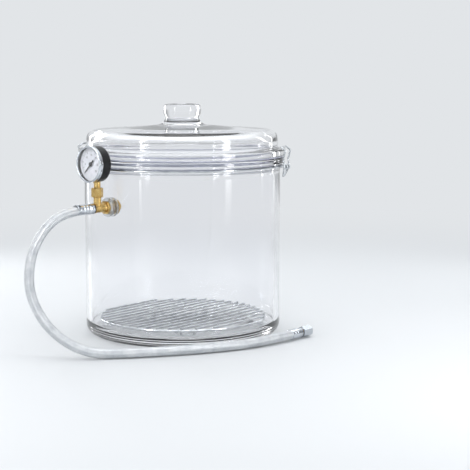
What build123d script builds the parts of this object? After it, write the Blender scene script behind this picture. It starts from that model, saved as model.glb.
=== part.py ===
"""Glass vacuum chamber with a lift-off domed lid, side vacuum gauge and braided hose.

Millimetres, +Z up. The origin is on the chamber's axis, on the surface it stands on.
Every piece that comes apart on the bench is its own solid in its own STEP file.
"""

from build123d import *

import os
from math import cos, pi, radians, sin, sqrt, tan

# ---------------------------------------------------------------- driving sizes

# glass vessel
vessel_radius = 140.0
vessel_height = 253.0
vessel_wall = 8.0
vessel_floor = 12.0
vessel_foot_round = 14.0
vessel_heel_round = 10.0
vessel_flange_overhang = 7.0
vessel_flange_depth = 10.0
neck_flare = 1.9
neck_flare_height = 12.0
glass_edge_round = 1.6

# gasket between the two flanges
gasket_thickness = 2.5
gasket_lip = 2.0
gasket_lip_depth = 6.0
gasket_fit = 0.3

# glass lid
lid_flange_overhang = 1.0
lid_flange_depth = 9.5
lid_side_setback = 11.5
lid_side_height = 36.0
lid_wall = 8.0
lid_shoulder_round = 13.0
lid_inner_round = 9.0
dome_rise = 7.0
dome_crown_share = 0.28
knob_base_radius = 38.0
knob_neck_radius = 24.0
knob_radius = 27.2
knob_height = 30.0
knob_neck_height = 10.0
knob_crown_height = 8.0
knob_waist_height = 14.0
knob_waist_setback = 0.7
knob_flare_out = 3.4
knob_flare_up = 3.2
knob_crown_round = 5.5

# wires
ring_wire = 3.0
clasp_wire = 2.6
clasp_azimuth = -20.0
clasp_half_width = 13.0
clasp_pivot_reach = 7.0
clasp_grip_drop = 14.0
clasp_hook_overlap = 4.0
clasp_open_angle = 14.0
clasp_hip_height = 10.5
clasp_rim_gap = 0.7
clasp_knee_gap = 1.9
clasp_knee_drop = 1.0
clasp_grip_inset = 1.0
clasp_grip_half_width = 2.6
clasp_bend = 2.2
clasp_grip_bend = 1.54
eye_spacing = 12.0
pivot_clearance = 0.05
wire_gap = 0.1

# vacuum port through the wall
port_azimuth = 46.0
port_height = 190.0
port_bore = 6.0
port_thread = 13.0
port_hole_clearance = 0.4
washer_diameter = 26.0
washer_thickness = 4.0
inner_washer_thickness = 3.0
port_collar_flats = 17.0
port_collar_depth = 4.0
port_nut_flats = 19.0
port_nut_depth = 5.0
port_thread_end = 4.0
washer_edge_round = 0.9

# tee
tee_run = 12.0
tee_bead = 13.2
tee_bead_depth = 3.0
tee_branch = 10.5
tee_wall = 2.0
tee_spigot_depth = 6.0
tee_outer_arm = 7.1
tee_branch_height = 15.0

# gauge
gauge_diameter = 50.0
gauge_case_diameter = 48.4
gauge_case_depth = 18.5
gauge_case_wall = 1.2
gauge_bezel_depth = 6.0
gauge_bezel_lip = 2.6
gauge_lens_thickness = 1.5
gauge_dial_thickness = 0.6
gauge_rise = 60.0
gauge_flange_gap = 6.4
gauge_stem_inset = 5.5
coupler_flats = 14.0
coupler_depth = 13.0
nut_chamfer = 0.7
socket_diameter = 9.0
block_height = 11.0
block_width = 12.0
block_depth = 7.0
block_rise = 3.0
bourdon_radius = 14.5
bourdon_width = 6.0
bourdon_thickness = 2.4
bourdon_sweep = 250.0
pointer_length = 17.0
pointer_tail = 7.5
pointer_width = 1.5
pointer_hub = 3.0
pointer_zero_angle = 135.0
spindle_diameter = 1.6
plate_width = 11.0
plate_thickness = 1.2
plate_overrun = 8.0
plate_corner = 1.5
plate_to_dial = 2.2
pillar_diameter = 1.8
pillar_pitch = 7.5

# braided hose and its ends
hose_diameter = 13.0
hose_bore = 6.4
hose_lead = 44.0
hose_bow_reach = 82.1
hose_bow_drop = 22.0
hose_side_reach = 104.1
hose_side_drop = 60.1
hose_side_low = 82.0
hose_heel_run = 27.5
hose_heel_height = 34.4
hose_lie_gap = 0.3
ferrule_diameter = 14.5
ferrule_wall = 0.65
near_ferrule_length = 29.0
ferrule_cap = 4.0
o_ring_diameter = 14.4
o_ring_thickness = 2.0
far_ferrule_length = 14.0
collar_length = 10.0
collar_diameter = 13.4
tail_barb_length = 16.0
swivel_flats = 14.0
swivel_length = 18.0
swivel_bore = 10.3
swivel_gap = 0.3
cone_length = 6.0
swivel_neck = 3.0
swivel_relief_depth = 6.2
swivel_relief = 0.5

# wire rack inside
rack_clearance = 14.0
rack_height = 22.0
rack_rim_wire = 4.0
rack_bar_wire = 3.0
rack_bar_pitch = 14.0
rack_azimuth = 48.0
rack_foot_width = 18.0
rack_weld = 0.3

# ---------------------------------------------------------------- worked out

mouth_radius = vessel_radius - vessel_wall
rack_radius = mouth_radius - rack_clearance
vessel_flange_radius = vessel_radius + vessel_flange_overhang
flange_underside = vessel_height - vessel_flange_depth
neck_radius = vessel_radius + neck_flare

lid_flange_radius = vessel_flange_radius + lid_flange_overhang
lid_side_radius = lid_flange_radius - lid_side_setback
lid_base = vessel_height + gasket_thickness
lid_flange_top = lid_base + lid_flange_depth
lid_shoulder = lid_base + lid_side_height
dome_top = lid_shoulder + dome_rise
knob_neck = dome_top + knob_neck_height
knob_top = dome_top + knob_height
lid_bore_radius = lid_side_radius - lid_wall
lid_ceiling = lid_shoulder - lid_wall
ceiling_round = (lid_bore_radius**2 + dome_rise**2) / (2 * dome_rise)
ceiling_centre = lid_ceiling + dome_rise - ceiling_round

ring_radius = neck_radius + ring_wire / 2 + wire_gap
ring_height = flange_underside - ring_wire / 2 - wire_gap

outward = Vector(-sin(radians(port_azimuth)), -cos(radians(port_azimuth)), 0)
across = Vector(cos(radians(port_azimuth)), -sin(radians(port_azimuth)), 0)

port_seat = sqrt(vessel_radius**2 - (washer_diameter / 2) ** 2)
inner_seat = mouth_radius
collar_start = port_seat + washer_thickness
tee_start = collar_start + port_collar_depth
gauge_back = lid_flange_radius + gauge_flange_gap
branch_reach = gauge_back + gauge_stem_inset
tee_end = branch_reach + tee_outer_arm
tee_length = tee_end - tee_start
nut_start = inner_seat - inner_washer_thickness - port_nut_depth
thread_start = nut_start - port_thread_end
branch_top = port_height + tee_branch_height
coupler_top = branch_top + coupler_depth
gauge_centre_height = port_height + gauge_rise
gauge_radius = gauge_diameter / 2
case_radius = gauge_case_diameter / 2
cap_start = tee_end + o_ring_thickness
hose_start = cap_start + ferrule_cap


def port_plane(reach, height=port_height):
    """A plane square to the port's axis, facing away from the vessel."""
    origin = outward * reach + Vector(0, 0, height)
    return Plane(origin=origin, x_dir=across, z_dir=outward)


def near(sketch, x, y):
    """The sketch's corner that lies nearest a point."""
    return sketch.vertices().sort_by_distance((x, y, 0))[0]


def bar(points, diameter, bend):
    """A round wire along straight runs joined by bends of one radius."""
    with BuildPart() as piece:
        with BuildLine() as path:
            FilletPolyline(*points, radius=bend)
        with BuildSketch(Plane(origin=path.wire() @ 0, z_dir=path.wire() % 0)):
            Circle(diameter / 2)
        sweep(path=path.wire())
    return piece.part


def write(builder, name):
    """Label a finished piece and write its STEP file."""
    builder.part.label = name
    export_step(builder.part, f"parts/{name}.step")


os.makedirs("parts", exist_ok=True)

# ---------------------------------------------------------------- glass vessel

with BuildPart() as vessel:
    with BuildSketch(Plane.XZ) as vessel_section:
        with BuildLine():
            Polyline(
                (0, 0),
                (vessel_radius, 0),
                (vessel_radius, flange_underside - neck_flare_height),
                (neck_radius, flange_underside - ring_wire),
                (neck_radius, flange_underside),
                (vessel_flange_radius, flange_underside),
                (vessel_flange_radius, vessel_height),
                (mouth_radius, vessel_height),
                (mouth_radius, vessel_floor),
                (0, vessel_floor),
                close=True,
            )
        make_face()
        fillet(near(vessel_section, vessel_radius, 0), vessel_foot_round)
        fillet(near(vessel_section, mouth_radius, vessel_floor), vessel_heel_round)
        for rim in (flange_underside, vessel_height):
            fillet(near(vessel_section, vessel_flange_radius, rim), 2 * glass_edge_round)
        fillet(near(vessel_section, mouth_radius, vessel_height), glass_edge_round)
    revolve(axis=Axis.Z)
    with BuildSketch(port_plane(port_seat)):
        Circle(washer_diameter / 2 + port_hole_clearance)
    extrude(amount=vessel_wall, mode=Mode.SUBTRACT)
    with BuildSketch(port_plane(inner_seat)):
        Circle(washer_diameter / 2 + port_hole_clearance)
    extrude(amount=-vessel_wall, mode=Mode.SUBTRACT)
    with BuildSketch(port_plane(port_seat)):
        Circle(port_thread / 2 + port_hole_clearance)
    extrude(amount=-2 * vessel_wall, mode=Mode.SUBTRACT)
write(vessel, "vessel")

with BuildPart() as lid_gasket:
    with BuildSketch(Plane.XZ) as gasket_section:
        lip_outer = mouth_radius - gasket_fit
        lip_inner = lip_outer - gasket_lip
        with BuildLine():
            Polyline(
                (lip_inner, vessel_height - gasket_lip_depth),
                (lip_outer, vessel_height - gasket_lip_depth),
                (lip_outer, vessel_height),
                (vessel_flange_radius - 2 * glass_edge_round, vessel_height),
                (vessel_flange_radius - glass_edge_round, lid_base),
                (lip_inner, lid_base),
                close=True,
            )
        make_face()
        fillet(near(gasket_section, lip_inner, vessel_height - gasket_lip_depth), gasket_lip / 4)
    revolve(axis=Axis.Z)
write(lid_gasket, "lid_gasket")

# ---------------------------------------------------------------- glass lid

with BuildPart() as lid:
    with BuildSketch(Plane.XZ) as lid_section:
        with BuildLine():
            Polyline((0, knob_top), (knob_radius, knob_top), (knob_radius, knob_top - knob_crown_height))
            ThreePointArc(
                (knob_radius, knob_top - knob_crown_height),
                (knob_radius - knob_waist_setback, knob_top - knob_waist_height),
                (knob_neck_radius, knob_neck),
            )
            ThreePointArc(
                (knob_neck_radius, knob_neck),
                (knob_neck_radius + knob_flare_out, dome_top + knob_flare_up),
                (knob_base_radius, dome_top),
            )
            ThreePointArc(
                (knob_base_radius, dome_top),
                ((knob_base_radius + lid_side_radius) / 2, lid_shoulder + dome_crown_share * dome_rise),
                (lid_side_radius, lid_shoulder),
            )
            Polyline(
                (lid_side_radius, lid_shoulder),
                (lid_side_radius, lid_flange_top),
                (lid_flange_radius, lid_flange_top),
                (lid_flange_radius, lid_base),
                (lid_bore_radius, lid_base),
                (lid_bore_radius, lid_ceiling),
            )
            ThreePointArc(
                (lid_bore_radius, lid_ceiling),
                (lid_bore_radius / 2, ceiling_centre + sqrt(ceiling_round**2 - lid_bore_radius**2 / 4)),
                (0, lid_ceiling + dome_rise),
            )
            Line((0, lid_ceiling + dome_rise), (0, knob_top))
        make_face()
        fillet(near(lid_section, knob_radius, knob_top), knob_crown_round)
        fillet(near(lid_section, lid_side_radius, lid_shoulder), lid_shoulder_round)
        fillet(near(lid_section, lid_bore_radius, lid_ceiling), lid_inner_round)
        fillet(near(lid_section, lid_side_radius, lid_flange_top), 3 * glass_edge_round)
        fillet(near(lid_section, lid_flange_radius, lid_flange_top), 2 * glass_edge_round)
        fillet(near(lid_section, lid_flange_radius, lid_base), glass_edge_round)
        fillet(near(lid_section, lid_bore_radius, lid_base), glass_edge_round)
    revolve(axis=Axis.Z)
write(lid, "lid")

# ---------------------------------------------------------------- neck ring and clasps

pivot_radius = vessel_flange_radius + clasp_pivot_reach + clasp_wire / 2
eye_radius = clasp_wire + pivot_clearance
pivot_angles = (clasp_azimuth, clasp_azimuth + 180)


def clasp_plane(azimuth):
    """A plane on the clasp's pivot: X outwards, Y up, Z across the clasp."""
    facing = Vector(cos(radians(azimuth)), sin(radians(azimuth)), 0)
    origin = facing * pivot_radius + Vector(0, 0, ring_height)
    return Plane(origin=origin, x_dir=facing, z_dir=facing.cross(Vector(0, 0, 1)))




with BuildPart() as neck_ring:
    with BuildSketch(Plane.XZ):
        with Locations((ring_radius, ring_height)):
            Circle(ring_wire / 2)
    revolve(axis=Axis.Z)
    for azimuth in pivot_angles:
        for side in (-1, 1):
            middle = clasp_plane(azimuth)
            offset = side * eye_spacing / 2
            eye = Plane(
                origin=middle.origin + middle.z_dir * offset,
                x_dir=middle.x_dir,
                z_dir=middle.z_dir,
            )
            arm_start = pivot_radius - sqrt(ring_radius**2 - offset**2)
            with BuildSketch(
                Plane(
                    origin=eye.origin - eye.x_dir * arm_start,
                    x_dir=eye.z_dir,
                    z_dir=eye.x_dir,
                )
            ):
                Circle(clasp_wire / 2)
            extrude(amount=arm_start - eye_radius)
            with BuildSketch(Plane(origin=eye.origin, x_dir=eye.x_dir, z_dir=eye.y_dir * -1)):
                with Locations((eye_radius, 0)):
                    Circle(clasp_wire / 2)
            revolve(axis=Axis(eye.origin, eye.z_dir))
write(neck_ring, "neck_ring")

# hooked over the lid, the cross bar lies on the lid's flange inside its rim
hooked_bar = Vector(
    lid_flange_radius - clasp_hook_overlap - pivot_radius,
    lid_flange_top + clasp_wire / 2 + clasp_rim_gap - ring_height,
)
hooked_knee = Vector(
    lid_flange_radius + clasp_wire / 2 + clasp_knee_gap - pivot_radius,
    lid_flange_top - clasp_knee_drop - ring_height,
)
hooked_hip = Vector(hooked_knee.X, clasp_hip_height)
hooked_tip = Vector(-clasp_grip_inset, -clasp_grip_drop)


def leaned(point):
    """A point of the hooked clasp turned outwards to where it rests, off the lid."""
    turn = radians(-clasp_open_angle)
    return (
        point.X * cos(turn) - point.Y * sin(turn),
        point.X * sin(turn) + point.Y * cos(turn),
    )


def bar_straight(start, end, diameter):
    """A straight round rod with rounded ends between two points."""
    run = end - start
    with BuildPart() as rod:
        with BuildSketch(Plane(origin=start, z_dir=run)):
            Circle(diameter / 2)
        extrude(amount=run.length)
        with Locations(start, end):
            Sphere(diameter / 2 + pivot_clearance)
    return rod.part


def clasp(azimuth):
    """The wire clasp: a pivot bar, a hook loop above it and a vee grip below it."""
    plane = clasp_plane(azimuth)

    def at(point, width):
        x, y = point
        return plane.origin + plane.x_dir * x + plane.y_dir * y + plane.z_dir * width

    pivot, half, grip_half = (0, 0), clasp_half_width, clasp_grip_half_width
    hip, knee = leaned(hooked_hip), leaned(hooked_knee)
    top, tip = leaned(hooked_bar), leaned(hooked_tip)
    hook = bar(
        [at(pivot, -half), at(hip, -half), at(knee, -half), at(top, -half)]
        + [at(top, half), at(knee, half), at(hip, half), at(pivot, half)],
        clasp_wire,
        clasp_bend,
    )
    grip = bar(
        [at(pivot, -half), at(tip, -grip_half), at(tip, grip_half), at(pivot, half)],
        clasp_wire,
        clasp_grip_bend,
    )
    pin = bar_straight(at(pivot, -half), at(pivot, half), clasp_wire)
    return hook, grip, pin


right_pieces = clasp(pivot_angles[0])
with BuildPart() as clasp_right:
    add(right_pieces)
write(clasp_right, "clasp_right")

left_pieces = clasp(pivot_angles[1])
with BuildPart() as clasp_left:
    add(left_pieces)
write(clasp_left, "clasp_left")

# ---------------------------------------------------------------- port fittings

with BuildPart() as port_washer_outer:
    with BuildSketch(port_plane(port_seat)):
        Circle(washer_diameter / 2)
        Circle(port_thread / 2 + port_hole_clearance / 4, mode=Mode.SUBTRACT)
    extrude(amount=washer_thickness)
    fillet(port_washer_outer.edges().filter_by(GeomType.CIRCLE).group_by(SortBy.RADIUS)[-1], washer_edge_round)
write(port_washer_outer, "port_washer_outer")

with BuildPart() as port_washer_inner:
    with BuildSketch(port_plane(inner_seat)):
        Circle(washer_diameter / 2)
        Circle(port_thread / 2 + port_hole_clearance / 4, mode=Mode.SUBTRACT)
    extrude(amount=-inner_washer_thickness)
    fillet(port_washer_inner.edges().filter_by(GeomType.CIRCLE).group_by(SortBy.RADIUS)[-1], washer_edge_round)
write(port_washer_inner, "port_washer_inner")

with BuildPart() as port_nipple:
    with BuildSketch(port_plane(thread_start)):
        Circle(port_thread / 2)
    extrude(amount=collar_start - thread_start)
    chamfer(port_nipple.faces().sort_by(Axis(port_plane(0).origin, outward))[0].edges(), 0.8)
    with BuildSketch(port_plane(collar_start)):
        RegularPolygon(port_collar_flats / 2, 6, major_radius=False)
    extrude(amount=port_collar_depth)
    with BuildSketch(port_plane(tee_start)):
        Circle(tee_run / 2 - tee_wall)
    extrude(amount=tee_spigot_depth)
    with BuildSketch(port_plane(thread_start)):
        Circle(port_bore / 2)
    extrude(amount=tee_start - thread_start + tee_spigot_depth, mode=Mode.SUBTRACT)
write(port_nipple, "port_nipple")

with BuildPart() as port_nut:
    with BuildSketch(port_plane(nut_start)):
        RegularPolygon(port_nut_flats / 2, 6, major_radius=False)
        Circle(port_thread / 2 + pivot_clearance, mode=Mode.SUBTRACT)
    extrude(amount=port_nut_depth)
    chamfer(port_nut.edges().filter_by(GeomType.LINE).group_by(SortBy.LENGTH)[-1], 0.6)
write(port_nut, "port_nut")

# ---------------------------------------------------------------- tee

with BuildPart() as tee:
    with BuildSketch(port_plane(tee_start)):
        Circle(tee_run / 2)
    extrude(amount=tee_length)
    for bead_start in (tee_start, tee_end - tee_bead_depth):
        with BuildSketch(port_plane(bead_start)):
            Circle(tee_bead / 2)
        extrude(amount=tee_bead_depth)
    branch_foot = outward * branch_reach + Vector(0, 0, port_height)
    with BuildSketch(Plane(origin=branch_foot)):
        Circle(tee_branch / 2)
    extrude(amount=tee_branch_height)
    rims = tee.edges().filter_by(GeomType.CIRCLE).group_by(SortBy.RADIUS)[-1]
    fillet(rims, 0.5)
    with BuildSketch(port_plane(tee_start)):
        Circle(tee_run / 2 - tee_wall + pivot_clearance)
    extrude(amount=tee_length, mode=Mode.SUBTRACT)
    with BuildSketch(Plane(origin=branch_foot)):
        Circle(tee_branch / 2 - tee_wall)
    extrude(amount=tee_branch_height, mode=Mode.SUBTRACT)
write(tee, "tee")

with BuildPart() as gauge_coupler:
    with BuildSketch(Plane(origin=branch_foot + Vector(0, 0, tee_branch_height))):
        RegularPolygon(coupler_flats / 2, 6, major_radius=False)
        Circle(tee_branch / 2 - tee_wall + pivot_clearance, mode=Mode.SUBTRACT)
    extrude(amount=coupler_depth)
    chamfer(gauge_coupler.faces().filter_by(Axis.Z).edges().filter_by(GeomType.LINE), nut_chamfer)
write(gauge_coupler, "gauge_coupler")

# ---------------------------------------------------------------- gauge

case_front = gauge_back + gauge_case_depth
case_bottom = gauge_centre_height - case_radius


def gauge_plane(reach):
    """A plane square to the gauge's axis, facing away from the vessel."""
    return port_plane(reach, gauge_centre_height)


with BuildPart() as gauge_case:
    with BuildSketch(gauge_plane(gauge_back)):
        Circle(case_radius)
    extrude(amount=gauge_case_depth)
    fillet(gauge_case.faces().sort_by(Axis(Vector(0, 0, 0), outward))[0].edges(), 2.5)
    with BuildSketch(gauge_plane(gauge_back + gauge_case_wall)):
        Circle(case_radius - gauge_case_wall)
    extrude(amount=gauge_case_depth, mode=Mode.SUBTRACT)
    with BuildSketch(Plane(origin=branch_foot + Vector(0, 0, case_bottom - 3 - port_height))):
        Circle(socket_diameter / 2 + port_hole_clearance)
    extrude(amount=10, mode=Mode.SUBTRACT)
write(gauge_case, "gauge_case")

with BuildPart() as gauge_socket:
    with BuildSketch(Plane(origin=branch_foot + Vector(0, 0, tee_branch_height - 6))):
        Circle(tee_branch / 2 - tee_wall - pivot_clearance)
    extrude(amount=6 + coupler_depth)
    with BuildSketch(Plane(origin=branch_foot + Vector(0, 0, coupler_top - port_height))):
        Circle(socket_diameter / 2)
    extrude(amount=case_bottom + 3 - coupler_top)
    block_foot = branch_foot + Vector(0, 0, case_bottom + block_rise - port_height)
    with BuildSketch(Plane(origin=block_foot, x_dir=across)):
        Rectangle(block_width, block_depth)
    extrude(amount=block_height)
    with BuildSketch(Plane(origin=branch_foot + Vector(0, 0, tee_branch_height - 6))):
        Circle(1.5)
    extrude(amount=coupler_top - port_height + 4 - tee_branch_height + 6, mode=Mode.SUBTRACT)
write(gauge_socket, "gauge_socket")

with BuildPart() as gauge_bezel:
    with BuildSketch(gauge_plane(case_front - gauge_bezel_depth / 2)):
        Circle(gauge_radius)
        Circle(case_radius + wire_gap, mode=Mode.SUBTRACT)
    extrude(amount=gauge_bezel_depth / 2)
    with BuildSketch(gauge_plane(case_front)):
        Circle(gauge_radius)
        Circle(gauge_radius - gauge_bezel_lip, mode=Mode.SUBTRACT)
    extrude(amount=gauge_bezel_depth / 2)
    front = gauge_bezel.faces().sort_by(Axis(Vector(0, 0, 0), outward))[-1]
    fillet(front.edges(), 1.0)
write(gauge_bezel, "gauge_bezel")

with BuildPart() as gauge_lens:
    with BuildSketch(gauge_plane(case_front)):
        Circle(gauge_radius - gauge_bezel_lip - wire_gap)
    extrude(amount=gauge_lens_thickness)
write(gauge_lens, "gauge_lens")

dial_back = case_front - 4.5
with BuildPart() as gauge_dial:
    with BuildSketch(gauge_plane(dial_back)):
        Circle(case_radius - gauge_case_wall - wire_gap)
        Circle(spindle_diameter / 2 + 0.4, mode=Mode.SUBTRACT)
    extrude(amount=gauge_dial_thickness)
write(gauge_dial, "gauge_dial")

spindle_back = dial_back - 5.5
with BuildPart() as gauge_pointer:
    blade = gauge_plane(dial_back + gauge_dial_thickness + 1.2)
    zero = radians(pointer_zero_angle)
    blade_side = across * cos(zero) + Vector(0, 0, 1) * sin(zero)
    with BuildSketch(Plane(origin=blade.origin, x_dir=blade_side, z_dir=outward)):
        with BuildLine():
            Polyline(
                (-pointer_width / 2, 0),
                (-0.25, pointer_length),
                (0.25, pointer_length),
                (pointer_width / 2, 0),
                (pointer_width, -pointer_tail),
                (-pointer_width, -pointer_tail),
                close=True,
            )
        make_face()
    extrude(amount=0.6)
    with BuildSketch(blade):
        Circle(pointer_hub)
    extrude(amount=1.2)
    with BuildSketch(gauge_plane(spindle_back)):
        Circle(spindle_diameter / 2)
    extrude(amount=dial_back + gauge_dial_thickness + 1.2 - spindle_back)
write(gauge_pointer, "gauge_pointer")

movement_back = spindle_back - 1.2
movement_drop = gauge_centre_height - (case_bottom + block_rise + block_height)
with BuildPart() as gauge_movement:
    for plate in (movement_back, dial_back - plate_to_dial):
        with BuildSketch(gauge_plane(plate)):
            with Locations((0, (plate_overrun - movement_drop) / 2)):
                RectangleRounded(plate_width, movement_drop + plate_overrun, plate_corner)
            if plate != movement_back:
                Circle(spindle_diameter / 2 + pivot_clearance, mode=Mode.SUBTRACT)
        extrude(amount=plate_thickness)
    with BuildSketch(gauge_plane(movement_back + plate_thickness)):
        with GridLocations(pillar_pitch, movement_drop - 1, 2, 2):
            Circle(pillar_diameter / 2)
    extrude(amount=dial_back - plate_to_dial - movement_back - plate_thickness)
write(gauge_movement, "gauge_movement")

bourdon_start = -90.0 + 18.0
with BuildPart() as bourdon_tube:
    tube_level = gauge_back + gauge_case_wall + 1.0
    with BuildSketch(gauge_plane(tube_level)):
        with BuildLine():
            CenterArc((0, 0), bourdon_radius + bourdon_thickness / 2, bourdon_start, bourdon_sweep)
            CenterArc((0, 0), bourdon_radius - bourdon_thickness / 2, bourdon_start, bourdon_sweep)
            for turn in (bourdon_start, bourdon_start + bourdon_sweep):
                way = (cos(radians(turn)), sin(radians(turn)))
                inner = bourdon_radius - bourdon_thickness / 2
                outer = bourdon_radius + bourdon_thickness / 2
                Line((way[0] * inner, way[1] * inner), (way[0] * outer, way[1] * outer))
        make_face()
    extrude(amount=bourdon_width)
write(bourdon_tube, "bourdon_tube")

# ---------------------------------------------------------------- hose

lie = hose_diameter / 2 + hose_lie_gap
end_lie = 8.4
drop = outward * (hose_start + hose_side_reach)
hose_route = [
    outward * hose_start + Vector(0, 0, port_height),
    outward * (hose_start + hose_lead) + Vector(0, 0, port_height),
    outward * (hose_start + hose_bow_reach) + Vector(0, 0, port_height - hose_bow_drop),
    drop + Vector(0, 0, port_height - hose_side_drop),
    drop + Vector(0, 0, hose_side_low),
    drop + Vector(hose_heel_run, 0, hose_heel_height),
    Vector(-125, -192, lie),
    Vector(-72, -187, lie),
    Vector(-20, -176.5, lie),
    Vector(34, -161, lie),
    Vector(86, -138, lie),
    Vector(127, -108, end_lie),
    Vector(159, -75, end_lie),
]
hose_radii = []
for before, corner, after in zip(hose_route, hose_route[1:], hose_route[2:]):
    shorter = min((corner - before).length, (after - corner).length)
    turn = (corner - before).get_angle(after - corner)
    hose_radii.append(0.45 * shorter / tan(radians(turn / 2)))
print("hose points", [tuple(round(v, 1) for v in tuple(point)) for point in hose_route])
print("hose radii", [round(radius) for radius in hose_radii])

with BuildPart() as hose:
    with BuildLine() as hose_path:
        FilletPolyline(*hose_route, radius=hose_radii)
    with BuildSketch(Plane(origin=hose_path.wire() @ 0, z_dir=hose_path.wire() % 0)):
        Circle(hose_diameter / 2)
        Circle(hose_bore / 2, mode=Mode.SUBTRACT)
    sweep(path=hose_path.wire())
hose_length = hose_path.wire().length
wall_section = pi * (hose_diameter**2 - hose_bore**2) / 4
print("hose length", round(hose_length, 1))
print("hose volume", round(hose.part.volume), "section times length", round(wall_section * hose_length))
write(hose, "hose")

with BuildPart() as o_ring:
    with BuildSketch(port_plane(tee_end)):
        Circle(o_ring_diameter / 2)
        Circle(tee_run / 2 - 1.5, mode=Mode.SUBTRACT)
    extrude(amount=o_ring_thickness)
    fillet(o_ring.edges().filter_by(GeomType.CIRCLE).group_by(SortBy.RADIUS)[-1], 0.8)
write(o_ring, "tee_seal_ring")

with BuildPart() as hose_ferrule_near:
    with BuildSketch(port_plane(cap_start)):
        Circle(ferrule_diameter / 2)
        Circle(hose_bore / 2 + wire_gap, mode=Mode.SUBTRACT)
    extrude(amount=ferrule_cap)
    with BuildSketch(port_plane(hose_start)):
        Circle(ferrule_diameter / 2)
        Circle(hose_diameter / 2 + wire_gap, mode=Mode.SUBTRACT)
    extrude(amount=near_ferrule_length - ferrule_cap)
    for crimp in (9.0, 14.0, 19.0):
        with BuildSketch(port_plane(cap_start + crimp)):
            Circle(ferrule_diameter / 2 + 1)
            Circle(ferrule_diameter / 2 - ferrule_wall / 2, mode=Mode.SUBTRACT)
        extrude(amount=2.2, mode=Mode.SUBTRACT)
write(hose_ferrule_near, "hose_ferrule_near")

with BuildPart() as hose_tail_near:
    with BuildSketch(port_plane(tee_end - tee_bead_depth)):
        Circle(hose_bore / 2 - wire_gap)
        Circle(hose_bore / 2 - 1.2, mode=Mode.SUBTRACT)
    extrude(amount=tee_bead_depth + o_ring_thickness + ferrule_cap + tail_barb_length)
write(hose_tail_near, "hose_tail_near")

# ---------------------------------------------------------------- hose's far end

end_point = hose_route[-1]
end_way = (hose_route[-1] - hose_route[-2]).normalized()


def end_plane(reach):
    """A plane square to the hose's far end, facing out of it."""
    return Plane(origin=end_point + end_way * reach, x_dir=Vector(0, 0, 1), z_dir=end_way)


with BuildPart() as hose_ferrule_far:
    with BuildSketch(end_plane(-far_ferrule_length)):
        Circle(ferrule_diameter / 2)
        Circle(hose_diameter / 2 + wire_gap, mode=Mode.SUBTRACT)
    extrude(amount=far_ferrule_length)
    for crimp in (4.0, 9.0):
        with BuildSketch(end_plane(crimp - far_ferrule_length)):
            Circle(ferrule_diameter / 2 + 1)
            Circle(ferrule_diameter / 2 - ferrule_wall / 2, mode=Mode.SUBTRACT)
        extrude(amount=2.0, mode=Mode.SUBTRACT)
write(hose_ferrule_far, "hose_ferrule_far")

with BuildPart() as hose_collar_far:
    with BuildSketch(end_plane(0)):
        Circle(collar_diameter / 2)
        Circle(hose_bore / 2 + wire_gap, mode=Mode.SUBTRACT)
    extrude(amount=collar_length)
    chamfer(hose_collar_far.faces().sort_by(Axis(end_point, end_way))[-1].edges(), 0.8)
write(hose_collar_far, "hose_collar_far")

nut_back = collar_length + swivel_gap
neck_bore = hose_bore / 2 + 0.3
with BuildPart() as hose_tail_far:
    with BuildSketch(end_plane(-tail_barb_length)):
        Circle(hose_bore / 2 - wire_gap)
    extrude(amount=tail_barb_length + nut_back + 4)
    with BuildSketch(end_plane(nut_back + 3.5)):
        Circle(swivel_bore / 2 - 0.4)
    extrude(amount=1.5)
    with BuildSketch(end_plane(nut_back + 5)):
        Circle(swivel_bore / 2 - 0.4)
    with BuildSketch(end_plane(nut_back + 5 + cone_length - 2)):
        Circle(hose_bore / 2 - 0.4)
    loft()
    with BuildSketch(end_plane(-tail_barb_length)):
        Circle(hose_bore / 2 - 1.2)
    extrude(amount=tail_barb_length + nut_back + 5 + cone_length, mode=Mode.SUBTRACT)
write(hose_tail_far, "hose_tail_far")

with BuildPart() as hose_swivel_nut:
    with BuildSketch(end_plane(nut_back)):
        RegularPolygon(swivel_flats / 2, 6, major_radius=False)
        Circle(neck_bore, mode=Mode.SUBTRACT)
    extrude(amount=swivel_neck)
    with BuildSketch(end_plane(nut_back + swivel_neck)):
        RegularPolygon(swivel_flats / 2, 6, major_radius=False)
        Circle(swivel_bore / 2, mode=Mode.SUBTRACT)
    extrude(amount=swivel_length - swivel_neck)
    with BuildSketch(end_plane(nut_back + swivel_neck)):
        Circle(swivel_bore / 2 + swivel_relief)
    extrude(amount=swivel_relief_depth, mode=Mode.SUBTRACT)
write(hose_swivel_nut, "hose_swivel_nut")

# ---------------------------------------------------------------- wire rack

with BuildPart() as rack_rim:
    with BuildSketch(Plane.XZ):
        with Locations((rack_radius, rack_height)):
            Circle(rack_rim_wire / 2)
    revolve(axis=Axis.Z)
write(rack_rim, "rack_rim")

bar_level = rack_height + (rack_rim_wire + rack_bar_wire) / 2 - rack_weld
bar_count = int(2 * (rack_radius - rack_rim_wire) / rack_bar_pitch)
along = Vector(cos(radians(rack_azimuth)), sin(radians(rack_azimuth)), 0)
beside = Vector(-along.Y, along.X, 0)
with BuildPart() as rack_bars:
    for index in range(bar_count):
        offset = (index - (bar_count - 1) / 2) * rack_bar_pitch
        reach = sqrt(rack_radius**2 - offset**2) + rack_rim_wire / 4
        start = beside * offset - along * reach + Vector(0, 0, bar_level)
        with BuildSketch(Plane(origin=start, z_dir=along)):
            Circle(rack_bar_wire / 2)
        extrude(amount=2 * reach)
write(rack_bars, "rack_bars")

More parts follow.
